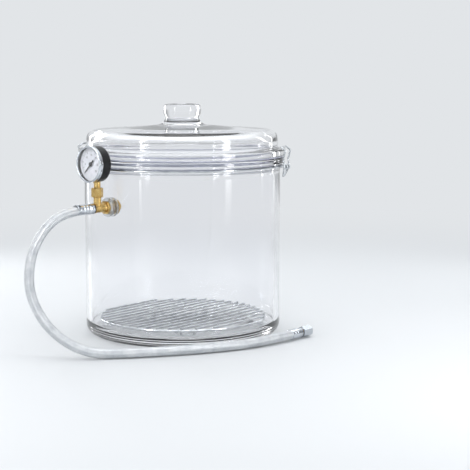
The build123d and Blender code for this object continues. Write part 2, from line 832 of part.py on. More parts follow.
foot_level = vessel_floor + rack_bar_wire / 2 + wire_gap
foot_pieces = []
for quarter in range(4):
    angle = radians(rack_azimuth + 45 + 90 * quarter)
    spoke = Vector(cos(angle), sin(angle), 0)
    side = Vector(-sin(angle), cos(angle), 0)
    seat = spoke * (sqrt(rack_radius**2 - rack_foot_width**2 / 4) - rack_rim_wire / 2)
    top = Vector(0, 0, rack_height)
    foot = Vector(0, 0, foot_level)
    foot_pieces.append(
        bar(
            [
                seat - side * rack_foot_width / 2 + top,
                seat - side * rack_foot_width / 2 + foot,
                seat + side * rack_foot_width / 2 + foot,
                seat + side * rack_foot_width / 2 + top,
            ],
            rack_bar_wire,
            2.5,
        )
    )
with BuildPart() as rack_feet:
    add(foot_pieces)
write(rack_feet, "rack_feet")
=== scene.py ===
"""Glass vacuum chamber with gauge, tee, braided hose, wire clasps and rack.

Every piece is modelled in metres in the chamber's own frame: +Z up the axis, the origin in the
middle of the foot. Sizes are written in millimetres and turned into metres where a mesh is made.
An outline is a list of (distance from the axis, reach along it), which is turned into a solid.
"""

from __future__ import annotations

import logging
import math
from dataclasses import dataclass
from enum import Enum
from typing import Any, Sequence

import bmesh
import bpy
from mathutils import Matrix, Vector


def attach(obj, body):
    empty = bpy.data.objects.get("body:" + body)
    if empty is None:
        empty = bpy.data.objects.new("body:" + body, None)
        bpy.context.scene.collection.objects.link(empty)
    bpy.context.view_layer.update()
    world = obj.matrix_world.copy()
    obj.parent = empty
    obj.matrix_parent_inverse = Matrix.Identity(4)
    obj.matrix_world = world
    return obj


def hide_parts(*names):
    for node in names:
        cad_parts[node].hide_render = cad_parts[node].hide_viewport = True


LOG = logging.getLogger("vacuum_chamber")
MM = 0.001
UP = Vector((0.0, 0.0, 1.0))
HALF_TURN = 180.0
SAME_SPOT = 0.002
"""Outline points closer than this, in millimetres, are one point."""
DOME_ANGLES = tuple(math.radians(angle) for angle in (70, 45, 20))
"""Where the rings of a wire's domed end lie, from its tip to its side."""

Point2 = tuple[float, float]


class Side(Enum):
    """Which of the two clasps, by how far round the chamber it stands from the right one."""

    RIGHT = 0.0
    LEFT = HALF_TURN


class BraidDirection(Enum):
    """Which way a braid's carriers wind round the hose."""

    CLOCKWISE = 1.0
    ANTICLOCKWISE = -1.0


class Joining(Enum):
    """What a boolean step does with its tool."""

    CUT = "DIFFERENCE"
    JOIN = "UNION"


# ------------------------------------------------------------------ nodes and colours


def linear(code: str) -> tuple[float, float, float, float]:
    """Turn an sRGB hex colour into linear RGBA.

    Args:
        code: six hex digits after a hash.

    Returns:
        Linear red, green, blue and an alpha of 1.
    """
    channels = [int(code[i : i + 2], 16) / 255 for i in (1, 3, 5)]
    turned = [c / 12.92 if c <= 0.04045 else ((c + 0.055) / 1.055) ** 2.4 for c in channels]
    return (*turned, 1.0)


def new_object(name: str, data: bpy.types.ID) -> bpy.types.Object:
    """A new object in the scene."""
    piece = bpy.data.objects.new(name, data)
    bpy.context.scene.collection.objects.link(piece)
    return piece


class Graph:
    """A node tree while it is being built."""

    def __init__(self, tree: bpy.types.NodeTree) -> None:
        """Take the tree that gets the nodes."""
        self.tree = tree

    def feed(self, socket: bpy.types.NodeSocket, source: Any) -> None:
        """Give an input a value, or link it to the output that feeds it.

        Args:
            socket: the input.
            source: the value or the output.
        """
        if isinstance(source, bpy.types.NodeSocket):
            self.tree.links.new(source, socket)
        else:
            socket.default_value = source

    def node(
        self, kind: str, inputs: dict[str | int, Any] | None = None, **settings: Any
    ) -> bpy.types.Node:
        """Add one node.

        Args:
            kind: the node's type name.
            inputs: a value, or an output that feeds it, for each input, by name or index.
            **settings: the node's own properties.

        Returns:
            The new node.
        """
        node = self.tree.nodes.new(kind)
        for name, value in settings.items():
            setattr(node, name, value)
        for name, source in (inputs or {}).items():
            self.feed(node.inputs[name], source)
        return node

    def out(
        self, kind: str, inputs: dict[str | int, Any] | None = None, **settings: Any
    ) -> bpy.types.NodeSocket:
        """Add one node and give its first output. See node."""
        return self.node(kind, inputs, **settings).outputs[0]

    def maths(self, operation: str, *operands: bpy.types.NodeSocket | float) -> bpy.types.NodeSocket:
        """Add one Math node on one or two operands."""
        return self.out("ShaderNodeMath", dict(enumerate(operands)), operation=operation)

    def product(self, first: Any, *others: Any) -> bpy.types.NodeSocket:
        """Multiply two or more operands."""
        for other in others:
            first = self.maths("MULTIPLY", first, other)
        return first

    def fade(
        self, value: bpy.types.NodeSocket, start: float, end: float, low: float = 0.0, high: float = 1.0
    ) -> bpy.types.NodeSocket:
        """Ease from one value to another.

        Args:
            value: what decides.
            start: where the fade starts.
            end: where it ends.
            low: its result at the start.
            high: its result at the end.

        Returns:
            The result.
        """
        bounds = {"From Min": start, "From Max": end, "To Min": low, "To Max": high, "Value": value}
        return self.out("ShaderNodeMapRange", bounds, interpolation_type="SMOOTHERSTEP")

    def mix_shaders(self, factor: Any, first: Any, second: Any) -> bpy.types.NodeSocket:
        """Mix two shaders by a factor."""
        return self.out("ShaderNodeMixShader", {0: factor, 1: first, 2: second})


class Recipe(Graph):
    """Geometry Nodes with named inputs, which make a mesh in one finish."""

    def __init__(self, name: str, values: dict[str, float | int]) -> None:
        """Make the tree, with an input for each value.

        Args:
            name: the tree's name.
            values: each input's name, and what it is given when the tree is run.
        """
        super().__init__(bpy.data.node_groups.new(name, "GeometryNodeTree"))
        self.values = values
        sockets = self.tree.interface
        sockets.new_socket("Geometry", in_out="INPUT", socket_type="NodeSocketGeometry")
        for label, value in values.items():
            kind = "NodeSocketInt" if isinstance(value, int) else "NodeSocketFloat"
            sockets.new_socket(label, in_out="INPUT", socket_type=kind)
        sockets.new_socket("Geometry", in_out="OUTPUT", socket_type="NodeSocketGeometry")
        self.given = self.node("NodeGroupInput").outputs

    def hand_out(self, made: bpy.types.NodeSocket, finish: Finish) -> None:
        """Turn what was made into real mesh, give it a finish and output it.

        Args:
            made: the geometry.
            finish: what it is finished in.
        """
        real = self.out("GeometryNodeRealizeInstances", {0: made})
        dressed = self.out("GeometryNodeSetMaterial", {"Geometry": real, "Material": finish.material()})
        self.node("NodeGroupOutput", {0: dressed})

    def row_of(self, count: str, place: bpy.types.NodeSocket) -> bpy.types.NodeSocket:
        """As many points as an input says, each put at its place."""
        line = self.out("GeometryNodeMeshLine", {"Count": self.given[count]})
        return self.out("GeometryNodeSetPosition", {"Geometry": line, "Position": place})

    def run(self, name: str, mesh: bpy.types.Mesh | None = None) -> bpy.types.Object:
        """Run the tree and keep what it makes.

        Args:
            name: the piece's name.
            mesh: what the tree is given. Nothing, unless one is named.

        Returns:
            The piece, as a plain mesh.
        """
        guide = new_object(f"{name}_guide", mesh or bpy.data.meshes.new(name))
        modifier = guide.modifiers.new(self.tree.name, "NODES")
        modifier.node_group = self.tree
        for item in self.tree.interface.items_tree:
            if item.in_out == "INPUT" and item.name in self.values:
                modifier[item.identifier] = self.values[item.name]
        return baked(guide, name)


# ------------------------------------------------------------------ finishes


@dataclass(frozen=True)
class Grain:
    """A noise through a material: its features' size, its detail and its stretch in X, Y and Z."""

    size: float
    detail: float = 3.0
    stretch: tuple[float, float, float] = (1.0, 1.0, 1.0)

    def factor(self, graph: Graph) -> bpy.types.NodeSocket:
        """Add the noise.

        Args:
            graph: the material's tree.

        Returns:
            The noise, from 0 to 1.
        """
        place = graph.node("ShaderNodeTexCoord").outputs["Object"]
        scale = tuple(1 / share for share in self.stretch)
        drawn = graph.out("ShaderNodeMapping", {"Scale": scale, "Vector": place})
        noise = {"Scale": 1 / (self.size * MM), "Detail": self.detail, "Vector": drawn}
        return graph.out("ShaderNodeTexNoise", noise)

    def between(self, graph: Graph, low: float, high: float) -> bpy.types.NodeSocket:
        """Add the noise, with its middle range spread from low to high.

        Args:
            graph: the material's tree.
            low: what it comes to where the noise is low.
            high: what it comes to where it is high.

        Returns:
            The spread noise.
        """
        bounds = {"From Min": 0.3, "From Max": 0.7, "To Min": low, "To Max": high}
        return graph.out("ShaderNodeMapRange", {**bounds, "Value": self.factor(graph)})


@dataclass(frozen=True)
class Finish:
    """A surface finish: one material, built once and shared by the pieces that have it.

    Its relief is a bump relief_depth deep. Its stain takes the colour up to stain_share of the way
    to stain_colour, and its haze makes it rougher by up to haze_gain.
    """

    name: str
    colour: str
    roughness: float
    metallic: float = 0.0
    transmission: float = 0.0
    ior: float = 1.5
    coat: float = 0.0
    specular: float = 0.5
    relief: Grain = Grain(1.0)
    relief_depth: float = 0.0
    stain: Grain | None = None
    stain_colour: str = ""
    stain_share: float = 1.0
    haze: Grain | None = None
    haze_gain: float = 0.0

    def material(self) -> bpy.types.Material:
        """The finish's material, made the first time it is asked for."""
        known = bpy.data.materials.get(self.name)
        if known is not None:
            return known
        material = bpy.data.materials.new(self.name)
        material.use_nodes = True
        graph = Graph(material.node_tree)
        shader = material.node_tree.nodes["Principled BSDF"]
        plain = {
            "Base Color": linear(self.colour),
            "Roughness": self.roughness,
            "Metallic": self.metallic,
            "Transmission Weight": self.transmission,
            "IOR": self.ior,
            "Coat Weight": self.coat,
            "Coat Roughness": 0.3,
            "Specular IOR Level": self.specular,
        }
        for name, value in plain.items():
            shader.inputs[name].default_value = value
        self.dress(graph, shader)
        return material

    def dress(self, graph: Graph, shader: bpy.types.Node) -> None:
        """Add the relief, the stain and the haze.

        Args:
            graph: the material's tree.
            shader: its Principled BSDF.
        """
        bump = {"Distance": self.relief_depth * MM, "Height": self.height(graph), "Strength": 1.0}
        graph.feed(shader.inputs["Normal"], graph.out("ShaderNodeBump", bump))
        if self.stain:
            share = self.stain.between(graph, 0.0, self.stain_share)
            colours = {0: share, 6: linear(self.colour), 7: linear(self.stain_colour)}
            mixed = graph.node("ShaderNodeMix", colours, data_type="RGBA").outputs[2]
            graph.feed(shader.inputs["Base Color"], mixed)
        if self.haze:
            dulled = self.haze.between(graph, self.roughness, self.roughness + self.haze_gain)
            graph.feed(shader.inputs["Roughness"], dulled)

    def height(self, graph: Graph) -> bpy.types.NodeSocket:
        """The relief's height, from 0 to 1."""
        return self.relief.factor(graph)


@dataclass(frozen=True)
class ClearGlass(Finish):
    """Moulded glass: clear, faintly wavy, its polish dulled a little by handling."""

    transmission: float = 1.0
    relief: Grain = Grain(38.0, 1.0, (1.0, 1.0, 3.0))
    relief_depth: float = 0.25
    haze: Grain | None = Grain(55.0, 4.0)
    haze_gain: float = 0.03
    shade: str = "#eceded"

    def dress(self, graph: Graph, shader: bpy.types.Node) -> None:
        """Let lamps shine through the glass, a little weakened, onto what stands behind it.

        Args:
            graph: the material's tree.
            shader: its Principled BSDF.
        """
        super().dress(graph, shader)
        lamp_ray = graph.node("ShaderNodeLightPath").outputs["Is Shadow Ray"]
        clear = graph.out("ShaderNodeBsdfTransparent", {"Color": linear(self.shade)})
        mixed = graph.mix_shaders(lamp_ray, shader.outputs[0], clear)
        graph.feed(graph.tree.nodes["Material Output"].inputs["Surface"], mixed)


@dataclass(frozen=True)
class PolishedWire(Finish):
    """Drawn wire, polished: bright, with faint lines left by the die."""

    metallic: float = 1.0
    relief: Grain = Grain(0.8, 2.0, (6.0, 6.0, 1.0))
    relief_depth: float = 0.02
    stain: Grain | None = Grain(9.0)
    stain_colour: str = "#a9aeb3"
    stain_share: float = 0.7
    haze: Grain | None = Grain(9.0)
    haze_gain: float = 0.12


@dataclass(frozen=True)
class TurnedBrass(Finish):
    """Free-cutting brass or bronze, turned: tool lines, dulled to brown in patches."""

    metallic: float = 1.0
    relief: Grain = Grain(0.5, 2.0, (5.0, 5.0, 1.0))
    relief_depth: float = 0.035
    stain: Grain | None = Grain(5.0, 5.0)
    stain_colour: str = "#b48a45"
    stain_share: float = 0.85
    haze: Grain | None = Grain(5.0, 5.0)
    haze_gain: float = 0.18


@dataclass(frozen=True)
class BrightPlate(Finish):
    """Bright plating over steel: a mirror with a haze of fine handling scratches."""

    metallic: float = 1.0
    relief: Grain = Grain(0.9, 4.0, (1.0, 1.0, 5.0))
    relief_depth: float = 0.012
    stain: Grain | None = Grain(7.0, 6.0)
    stain_colour: str = "#b9bec4"
    stain_share: float = 0.6
    haze: Grain | None = Grain(7.0, 6.0)
    haze_gain: float = 0.1


@dataclass(frozen=True)
class SatinEnamel(Finish):
    """Stoved enamel or ink: near black, satin, with a fine orange-peel skin."""

    coat: float = 0.1
    specular: float = 0.3
    relief: Grain = Grain(0.7, 2.0)
    relief_depth: float = 0.03
    stain: Grain | None = Grain(6.0, 4.0)
    stain_colour: str = "#121315"


@dataclass(frozen=True)
class SoftRubber(Finish):
    """Moulded or extruded rubber: matt, pebbled, with a dusty bloom."""

    relief: Grain = Grain(0.8)
    relief_depth: float = 0.04
    stain: Grain | None = Grain(5.0)
    stain_colour: str = "#2c2c2e"


@dataclass(frozen=True)
class WovenSteel(Finish):
    """Stainless braid: flat bundles of bright wires that lie side by side."""

    wires: int = 6
    metallic: float = 1.0
    relief_depth: float = 0.05
    stain: Grain | None = Grain(11.0, 5.0)
    stain_colour: str = "#c4c8cd"
    stain_share: float = 0.7
    haze: Grain | None = Grain(3.0)
    haze_gain: float = 0.15

    def height(self, graph: Graph) -> bpy.types.NodeSocket:
        """The ridge of each wire, across the bundle."""
        across = graph.node("ShaderNodeAttribute", attribute_name="across").outputs["Fac"]
        return graph.maths("COSINE", graph.product(across, self.wires * 2 * math.pi))


# The vessel's and the lid's pressed soda-lime glass.
GLASS = ClearGlass("pressed_soda_lime_glass", "#fcfcfd", 0.0)
# The gauge's flat lens, which has hardly any waves.
LENS = ClearGlass(
    "float_glass_lens", "#ffffff", 0.0, relief=Grain(20.0, 1.0, (1.0, 1.0, 3.0)), relief_depth=0.01
)
# The lid's gasket: milky, so light bleeds through it, with a satin skin.
SILICONE = Finish(
    "moulded_silicone",
    "#d3d5e2",
    0.35,
    transmission=0.45,
    ior=1.41,
    relief=Grain(1.2),
    relief_depth=0.03,
    stain=Grain(14.0),
    stain_colour="#b5b8ca",
)
# The port's sealing washers: water-clear with a faint haze and a slightly rippled skin.
WASHER = Finish(
    "clear_pressed_vinyl",
    "#f7f9fa",
    0.06,
    transmission=0.9,
    ior=1.46,
    relief=Grain(2.6, 2.0),
    relief_depth=0.12,
    haze=Grain(6.0),
    haze_gain=0.12,
)
# The neck ring and the clasps, and the rack.
WIRE = PolishedWire("polished_stainless_wire", "#d9dcde", 0.12)
PLATED_WIRE = PolishedWire("bright_nickel_plated_wire", "#e6e8ea", 0.14)
# The port's fittings, and the gauge's bourdon tube.
BRASS = TurnedBrass("turned_brass", "#e2c685", 0.2)
BRONZE = TurnedBrass("drawn_phosphor_bronze", "#a8743f", 0.3, stain_colour="#6e4526")
# The bezel and the ferrules, and the hose's far collar and nut.
CHROME = BrightPlate("bright_chrome_plate", "#dfe3e8", 0.06)
ZINC = BrightPlate("bright_zinc_plate", "#c9cdd2", 0.16)
# The gauge's case, its printed disc, and what is printed on it.
BLACK = SatinEnamel("satin_black_enamel", "#060607", 0.34)
DIAL = Finish(
    "screen_printed_dial",
    "#f1f2f8",
    0.6,
    relief=Grain(0.4, 2.0),
    relief_depth=0.01,
    stain=Grain(4.0, 4.0),
    stain_colour="#dcdee8",
    stain_share=0.5,
)
INK = SatinEnamel("black_printing_ink", "#0b0b0d", 0.55)
# The tee's seal ring, the hose's sleeve and what lies under the sleeve.
RUBBER = SoftRubber("moulded_black_rubber", "#161617", 0.7)
BRAID = WovenSteel("woven_stainless_braid", "#e6e8ea", 0.3)
LINER = SoftRubber("extruded_hose_liner", "#6f7174", 0.6)


# ------------------------------------------------------------------ meshes


def mm(x: float, y: float, z: float) -> Vector:
    """A place in metres, from millimetres."""
    return Vector((x * MM, y * MM, z * MM))


def heading(azimuth: float) -> Vector:
    """The level direction at an azimuth, in degrees from +X towards +Y."""
    angle = math.radians(azimuth)
    return Vector((math.cos(angle), math.sin(angle), 0.0))


def turns_of(count: int) -> list[float]:
    """Evenly spaced angles of a full turn."""
    return [2 * math.pi * k / count for k in range(count)]


@dataclass(frozen=True)
class Station:
    """A place and a direction for a turned piece: its axis, and which way is sideways."""

    origin: Vector
    along: Vector
    side: Vector

    def moved(self, reach: float) -> Station:
        """The same directions, further along the axis by a reach in millimetres."""
        return Station(self.origin + self.along * reach * MM, self.along, self.side)

    def matrix(self) -> Matrix:
        """Local X to the side, Y the third way and Z along the axis."""
        turn = Matrix((self.side, self.along.cross(self.side), self.along)).transposed().to_4x4()
        return Matrix.Translation(self.origin) @ turn


UPRIGHT = Station(Vector(), UP, Vector((1.0, 0.0, 0.0)))

PORT_HEIGHT = 190.0
PORT = Station(
    mm(0, 0, PORT_HEIGHT), Vector((-0.7193, -0.6947, 0.0)), Vector((0.6947, -0.7193, 0.0))
)
"""The port's axis, from the chamber's middle out through its wall."""
BRANCH_REACH = 159.9
"""How far out along the port the tee's branch and the gauge's stem stand."""


def on_branch(height: float) -> Station:
    """On the branch's upright axis, at a height in millimetres."""
    return Station(PORT.along * BRANCH_REACH * MM + mm(0, 0, height), UP, PORT.side)


def arc(start: Point2, through: Point2, end: Point2, steps: int = 8) -> list[Point2]:
    """Points along the circle arc through three points.

    Args:
        start: where the arc starts.
        through: any point on it.
        end: where it ends.
        steps: how many pieces it is cut into.

    Returns:
        The points, both ends among them.
    """
    (ax, ay), (bx, by), (cx, cy) = start, through, end
    divisor = 2 * (ax * (by - cy) + bx * (cy - ay) + cx * (ay - by))
    sa, sb, sc = ax * ax + ay * ay, bx * bx + by * by, cx * cx + cy * cy
    ux = (sa * (by - cy) + sb * (cy - ay) + sc * (ay - by)) / divisor
    uy = (sa * (cx - bx) + sb * (ax - cx) + sc * (bx - ax)) / divisor
    radius = math.hypot(ax - ux, ay - uy)
    first, middle, last = (math.atan2(y - uy, x - ux) for x, y in (start, through, end))
    sweep = (last - first) % (2 * math.pi)
    if (middle - first) % (2 * math.pi) > sweep:
        sweep -= 2 * math.pi
    angles = [first + sweep * step / steps for step in range(steps + 1)]
    return [(ux + radius * math.cos(angle), uy + radius * math.sin(angle)) for angle in angles]


def smooth(piece: bpy.types.Object, sharp: float) -> bpy.types.Object:
    """Shade a piece smooth, apart from edges that turn by more than sharp degrees."""
    piece.data.shade_smooth()
    piece.data.set_sharp_from_angle(angle=math.radians(sharp))
    return piece


def finished(name: str, shape: bmesh.types.BMesh, finish: Finish, sharp: float = 35.0) -> bpy.types.Object:
    """Turn a bmesh into a smooth-shaded object with one finish.

    Args:
        name: the piece's name.
        shape: the bmesh, which is freed.
        finish: what it is finished in.
        sharp: edges that turn by more than this many degrees stay sharp.

    Returns:
        The new object.
    """
    bmesh.ops.recalc_face_normals(shape, faces=shape.faces)
    mesh = bpy.data.meshes.new(name)
    shape.to_mesh(mesh)
    shape.free()
    mesh.materials.append(finish.material())
    return smooth(new_object(name, mesh), sharp)


def bridge(
    shape: bmesh.types.BMesh, lower: Sequence[bmesh.types.BMVert], upper: Sequence[bmesh.types.BMVert]
) -> None:
    """Face two rings of vertices together, either of which may be a single one.

    Args:
        shape: the bmesh that holds them.
        lower: one ring.
        upper: the next.
    """
    for k in range(max(len(lower), len(upper))):
        below = (lower[k % len(lower)], lower[(k + 1) % len(lower)])
        above = (upper[(k + 1) % len(upper)], upper[k % len(upper)])
        corners = list(dict.fromkeys(below + above))
        if len(corners) > 2:
            shape.faces.new(corners)


def turn_outline(
    shape: bmesh.types.BMesh,
    outline: Sequence[Point2],
    station: Station = UPRIGHT,
    segments: int = 96,
) -> None:
    """Revolve an outline round a station's axis.

    Args:
        shape: the bmesh that gets the turned form.
        outline: its points. It is closed, unless it starts on the axis.
        station: where the axis is.
        segments: how many pieces a full turn is cut into.
    """
    matrix = station.matrix()
    turns = turns_of(segments)
    rings = []
    for (radius, reach), before in zip(outline, [outline[-1], *outline]):
        if math.dist((radius, reach), before) <= SAME_SPOT:
            continue
        around = turns if radius > SAME_SPOT else turns[:1]
        spots = [mm(radius * math.cos(turn), radius * math.sin(turn), reach) for turn in around]
        rings.append([shape.verts.new(matrix @ spot) for spot in spots])
    closing = rings[:1] if len(rings[0]) > 1 else []
    for lower, upper in zip(rings, rings[1:] + closing):
        bridge(shape, lower, upper)


def turned(
    name: str,
    outline: Sequence[Point2],
    finish: Finish,
    station: Station = UPRIGHT,
    segments: int = 96,
    sharp: float = 35.0,
) -> bpy.types.Object:
    """Make a piece that is one turned form.

    Args:
        name: the piece's name.
        outline: see turn_outline.
        finish: what it is finished in.
        station: where its axis is.
        segments: how many pieces a full turn is cut into.
        sharp: see finished.

    Returns:
        The piece.
    """
    shape = bmesh.new()
    turn_outline(shape, outline, station, segments)
    return finished(name, shape, finish, sharp)


def plug(radius: float, start: float, end: float) -> list[Point2]:
    """The outline of a plain solid cylinder."""
    return [(0.0, start), (radius, start), (radius, end), (0.0, end)]


def mirrored(half: Sequence[Point2], start: float, end: float) -> list[Point2]:
    """The outline of a form whose two ends are alike.

    Args:
        half: its outline up to the middle, with each reach counted from its end.
        start: where the first end lies.
        end: where the other lies.

    Returns:
        The whole outline.
    """
    near = [(radius, start + reach) for radius, reach in half]
    return near + [(radius, end - reach) for radius, reach in reversed(half)]


def circle(centre: Vector, radius: float, across: Vector, up: Vector, count: int) -> list[Vector]:
    """Points round a circle.

    Args:
        centre: its middle, in metres.
        radius: its radius, in millimetres.
        across: the direction of its first point.
        up: the direction of the point a quarter turn on.
        count: how many points.

    Returns:
        The points, in metres.
    """
    return [centre + (across * math.cos(t) + up * math.sin(t)) * radius * MM for t in turns_of(count)]


MACHINED_EDGE = 25.0
"""Machined pieces keep edges sharp that turn by more than this many degrees."""


@dataclass(frozen=True)
class Hexagon:
    """A hexagon nut: its size across flats, its depth, its bore and the bore's chamfer."""

    flats: float
    depth: float
    bore: float
    relief: float
    crown_share: float = 0.96
    crown_slope: float = 30.0
    segments: int = 72

    def add(self, shape: bmesh.types.BMesh, station: Station) -> None:
        """Add the nut, with its corners chamfered, from a station on along its axis.

        Args:
            shape: the bmesh that gets the nut.
            station: the middle of its first face.
        """
        matrix = station.matrix()
        inner, level, sixth = self.bore / 2, self.flats / 2 * self.crown_share, math.pi / 3
        columns = []
        for turn in turns_of(self.segments):
            within = (turn + sixth / 2) % sixth - sixth / 2
            edge = self.flats / 2 / math.cos(sixth / 2 - abs(within))
            drop = max(0.0, edge - level) * math.tan(math.radians(self.crown_slope))
            half = [(inner, self.relief), (inner + self.relief, 0.0), (level, 0.0), (edge, drop)]
            spots = [
                mm(radius * math.cos(turn), radius * math.sin(turn), reach)
                for radius, reach in mirrored(half, 0.0, self.depth)
            ]
            columns.append([shape.verts.new(matrix @ spot) for spot in spots])
        rings = list(zip(*columns))
        for ring, other in zip(rings, rings[1:] + rings[:1]):
            bridge(shape, ring, other)

    def piece(self, name: str, finish: Finish, station: Station) -> bpy.types.Object:
        """Make a piece that is this nut alone. See add."""
        shape = bmesh.new()
        self.add(shape, station)
        return finished(name, shape, finish, MACHINED_EDGE)


def smooth_path(points: Sequence[Vector], bend: float, steps: int = 8) -> list[Vector]:
    """Round the corners of a bent wire's path.

    Args:
        points: where the wire's runs meet, in metres.
        bend: the bends' radius, in millimetres.
        steps: how many pieces each bend is cut into.

    Returns:
        Points along the runs and bends.
    """
    result = [points[0]]
    for before, corner, after in zip(points, points[1:], points[2:]):
        back = (before - corner).normalized()
        ahead = (after - corner).normalized()
        half = back.angle(ahead) / 2
        reach = bend * MM / math.tan(half)
        centre = corner + (back + ahead).normalized() * (bend * MM / math.sin(half))
        start, end = corner + back * reach - centre, corner + ahead * reach - centre
        axis = start.cross(end).normalized()
        for step in range(steps + 1):
            result.append(centre + Matrix.Rotation(start.angle(end) * step / steps, 3, axis) @ start)
    return [*result, points[-1]]


WireLevel = tuple[Vector, Vector, Vector, float]
"""One ring of a wire: its middle, its normal, its tangent and its radius."""


def add_wire(
    shape: bmesh.types.BMesh,
    path: Sequence[Vector],
    diameter: float,
    closed: bool = False,
    sides: int = 14,
) -> None:
    """Add a round wire along a path, with domed ends.

    Args:
        shape: the bmesh that gets the wire.
        path: points along its middle, in metres.
        diameter: its diameter, in millimetres.
        closed: whether the wire is an endless ring.
        sides: how many faces go round it.
    """
    radius = diameter / 2 * MM
    ahead = [*path[1:], path[0] if closed else path[-1]]
    behind = [path[-1] if closed else path[0], *path[:-1]]
    tangents = [(after - before).normalized() for after, before in zip(ahead, behind)]
    normal = tangents[0].orthogonal().normalized()
    levels = []
    for point, tangent in zip(path, tangents):
        normal = (normal - tangent * normal.dot(tangent)).normalized()
        levels.append((point, normal, tangent, radius))
    if not closed:
        levels = [*dome(levels[0], -1.0), *levels, *reversed(dome(levels[-1], 1.0))]
    rings = []
    for point, normal, tangent, size in levels:
        third = tangent.cross(normal)
        around = [(normal * math.cos(turn) + third * math.sin(turn)) * size for turn in turns_of(sides)]
        rings.append([shape.verts.new(point + spot) for spot in around])
    for lower, upper in zip(rings, rings[1:]):
        bridge(shape, lower, upper)
    if closed:
        last, first = rings[-1], rings[0]
        shift = min(range(sides), key=lambda k: (last[0].co - first[k].co).length)
        bridge(shape, last, first[shift:] + first[:shift])
    else:
        shape.faces.new(list(reversed(rings[0])))
        shape.faces.new(rings[-1])


def dome(level: WireLevel, way: float) -> list[WireLevel]:
    """The levels that close a wire's end, from the tip inwards.

    Args:
        level: the wire's last level.
        way: 1 where the end lies ahead, -1 where it lies behind.

    Returns:
        The dome's levels.
    """
    point, normal, tangent, radius = level
    return [
        (point + tangent * way * radius * math.sin(angle), normal, tangent, radius * math.cos(angle))
        for angle in DOME_ANGLES
    ]


def baked(piece: bpy.types.Object, name: str) -> bpy.types.Object:
    """Keep what an object's modifiers or curve make, as a plain mesh.

    Args:
        piece: the object. It is removed.
        name: what the plain one is called.

    Returns:
        The plain object.
    """
    mesh = evaluated_mesh(piece)
    bpy.data.objects.remove(piece)
    return new_object(name, mesh)


def evaluated_mesh(piece: bpy.types.Object) -> bpy.types.Mesh:
    """A mesh of what an object's modifiers or curve make."""
    return bpy.data.meshes.new_from_object(piece.evaluated_get(bpy.context.evaluated_depsgraph_get()))


def combined(body: bpy.types.Object, tool: bpy.types.Object, joining: Joining) -> bpy.types.Object:
    """Cut a tool out of a body, or join it on, and merge points that fall together.

    Args:
        body: the object that is changed. It is removed.
        tool: what it is changed with. It is removed too.
        joining: what is done with the tool.

    Returns:
        The new body, under the old one's name.
    """
    step = body.modifiers.new(joining.name, "BOOLEAN")
    step.operation = joining.value
    step.solver = "EXACT"
    step.object = tool
    plain = baked(body, body.name)
    bpy.data.objects.remove(tool)
    shape = bmesh.new()
    shape.from_mesh(plain.data)
    bmesh.ops.remove_doubles(shape, verts=shape.verts, dist=SAME_SPOT * MM)
    bmesh.ops.dissolve_degenerate(shape, edges=shape.edges, dist=SAME_SPOT * MM)
    shape.to_mesh(plain.data)
    shape.free()
    return plain


def settle(piece: bpy.types.Object, slot: str, *nodes: str, body: str = "chamber") -> None:
    """Ride a finished piece on its body, in place of the nodes that it stands for.

    Args:
        piece: the piece.
        slot: its material slot. It is not used.
        *nodes: the nodes that it replaces.
        body: the body that it rides on.
    """
    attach(piece, body)
    if nodes:
        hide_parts(*nodes)
    LOG.info("%s rides on %s", piece.name, body)


# ------------------------------------------------------------------ the hose


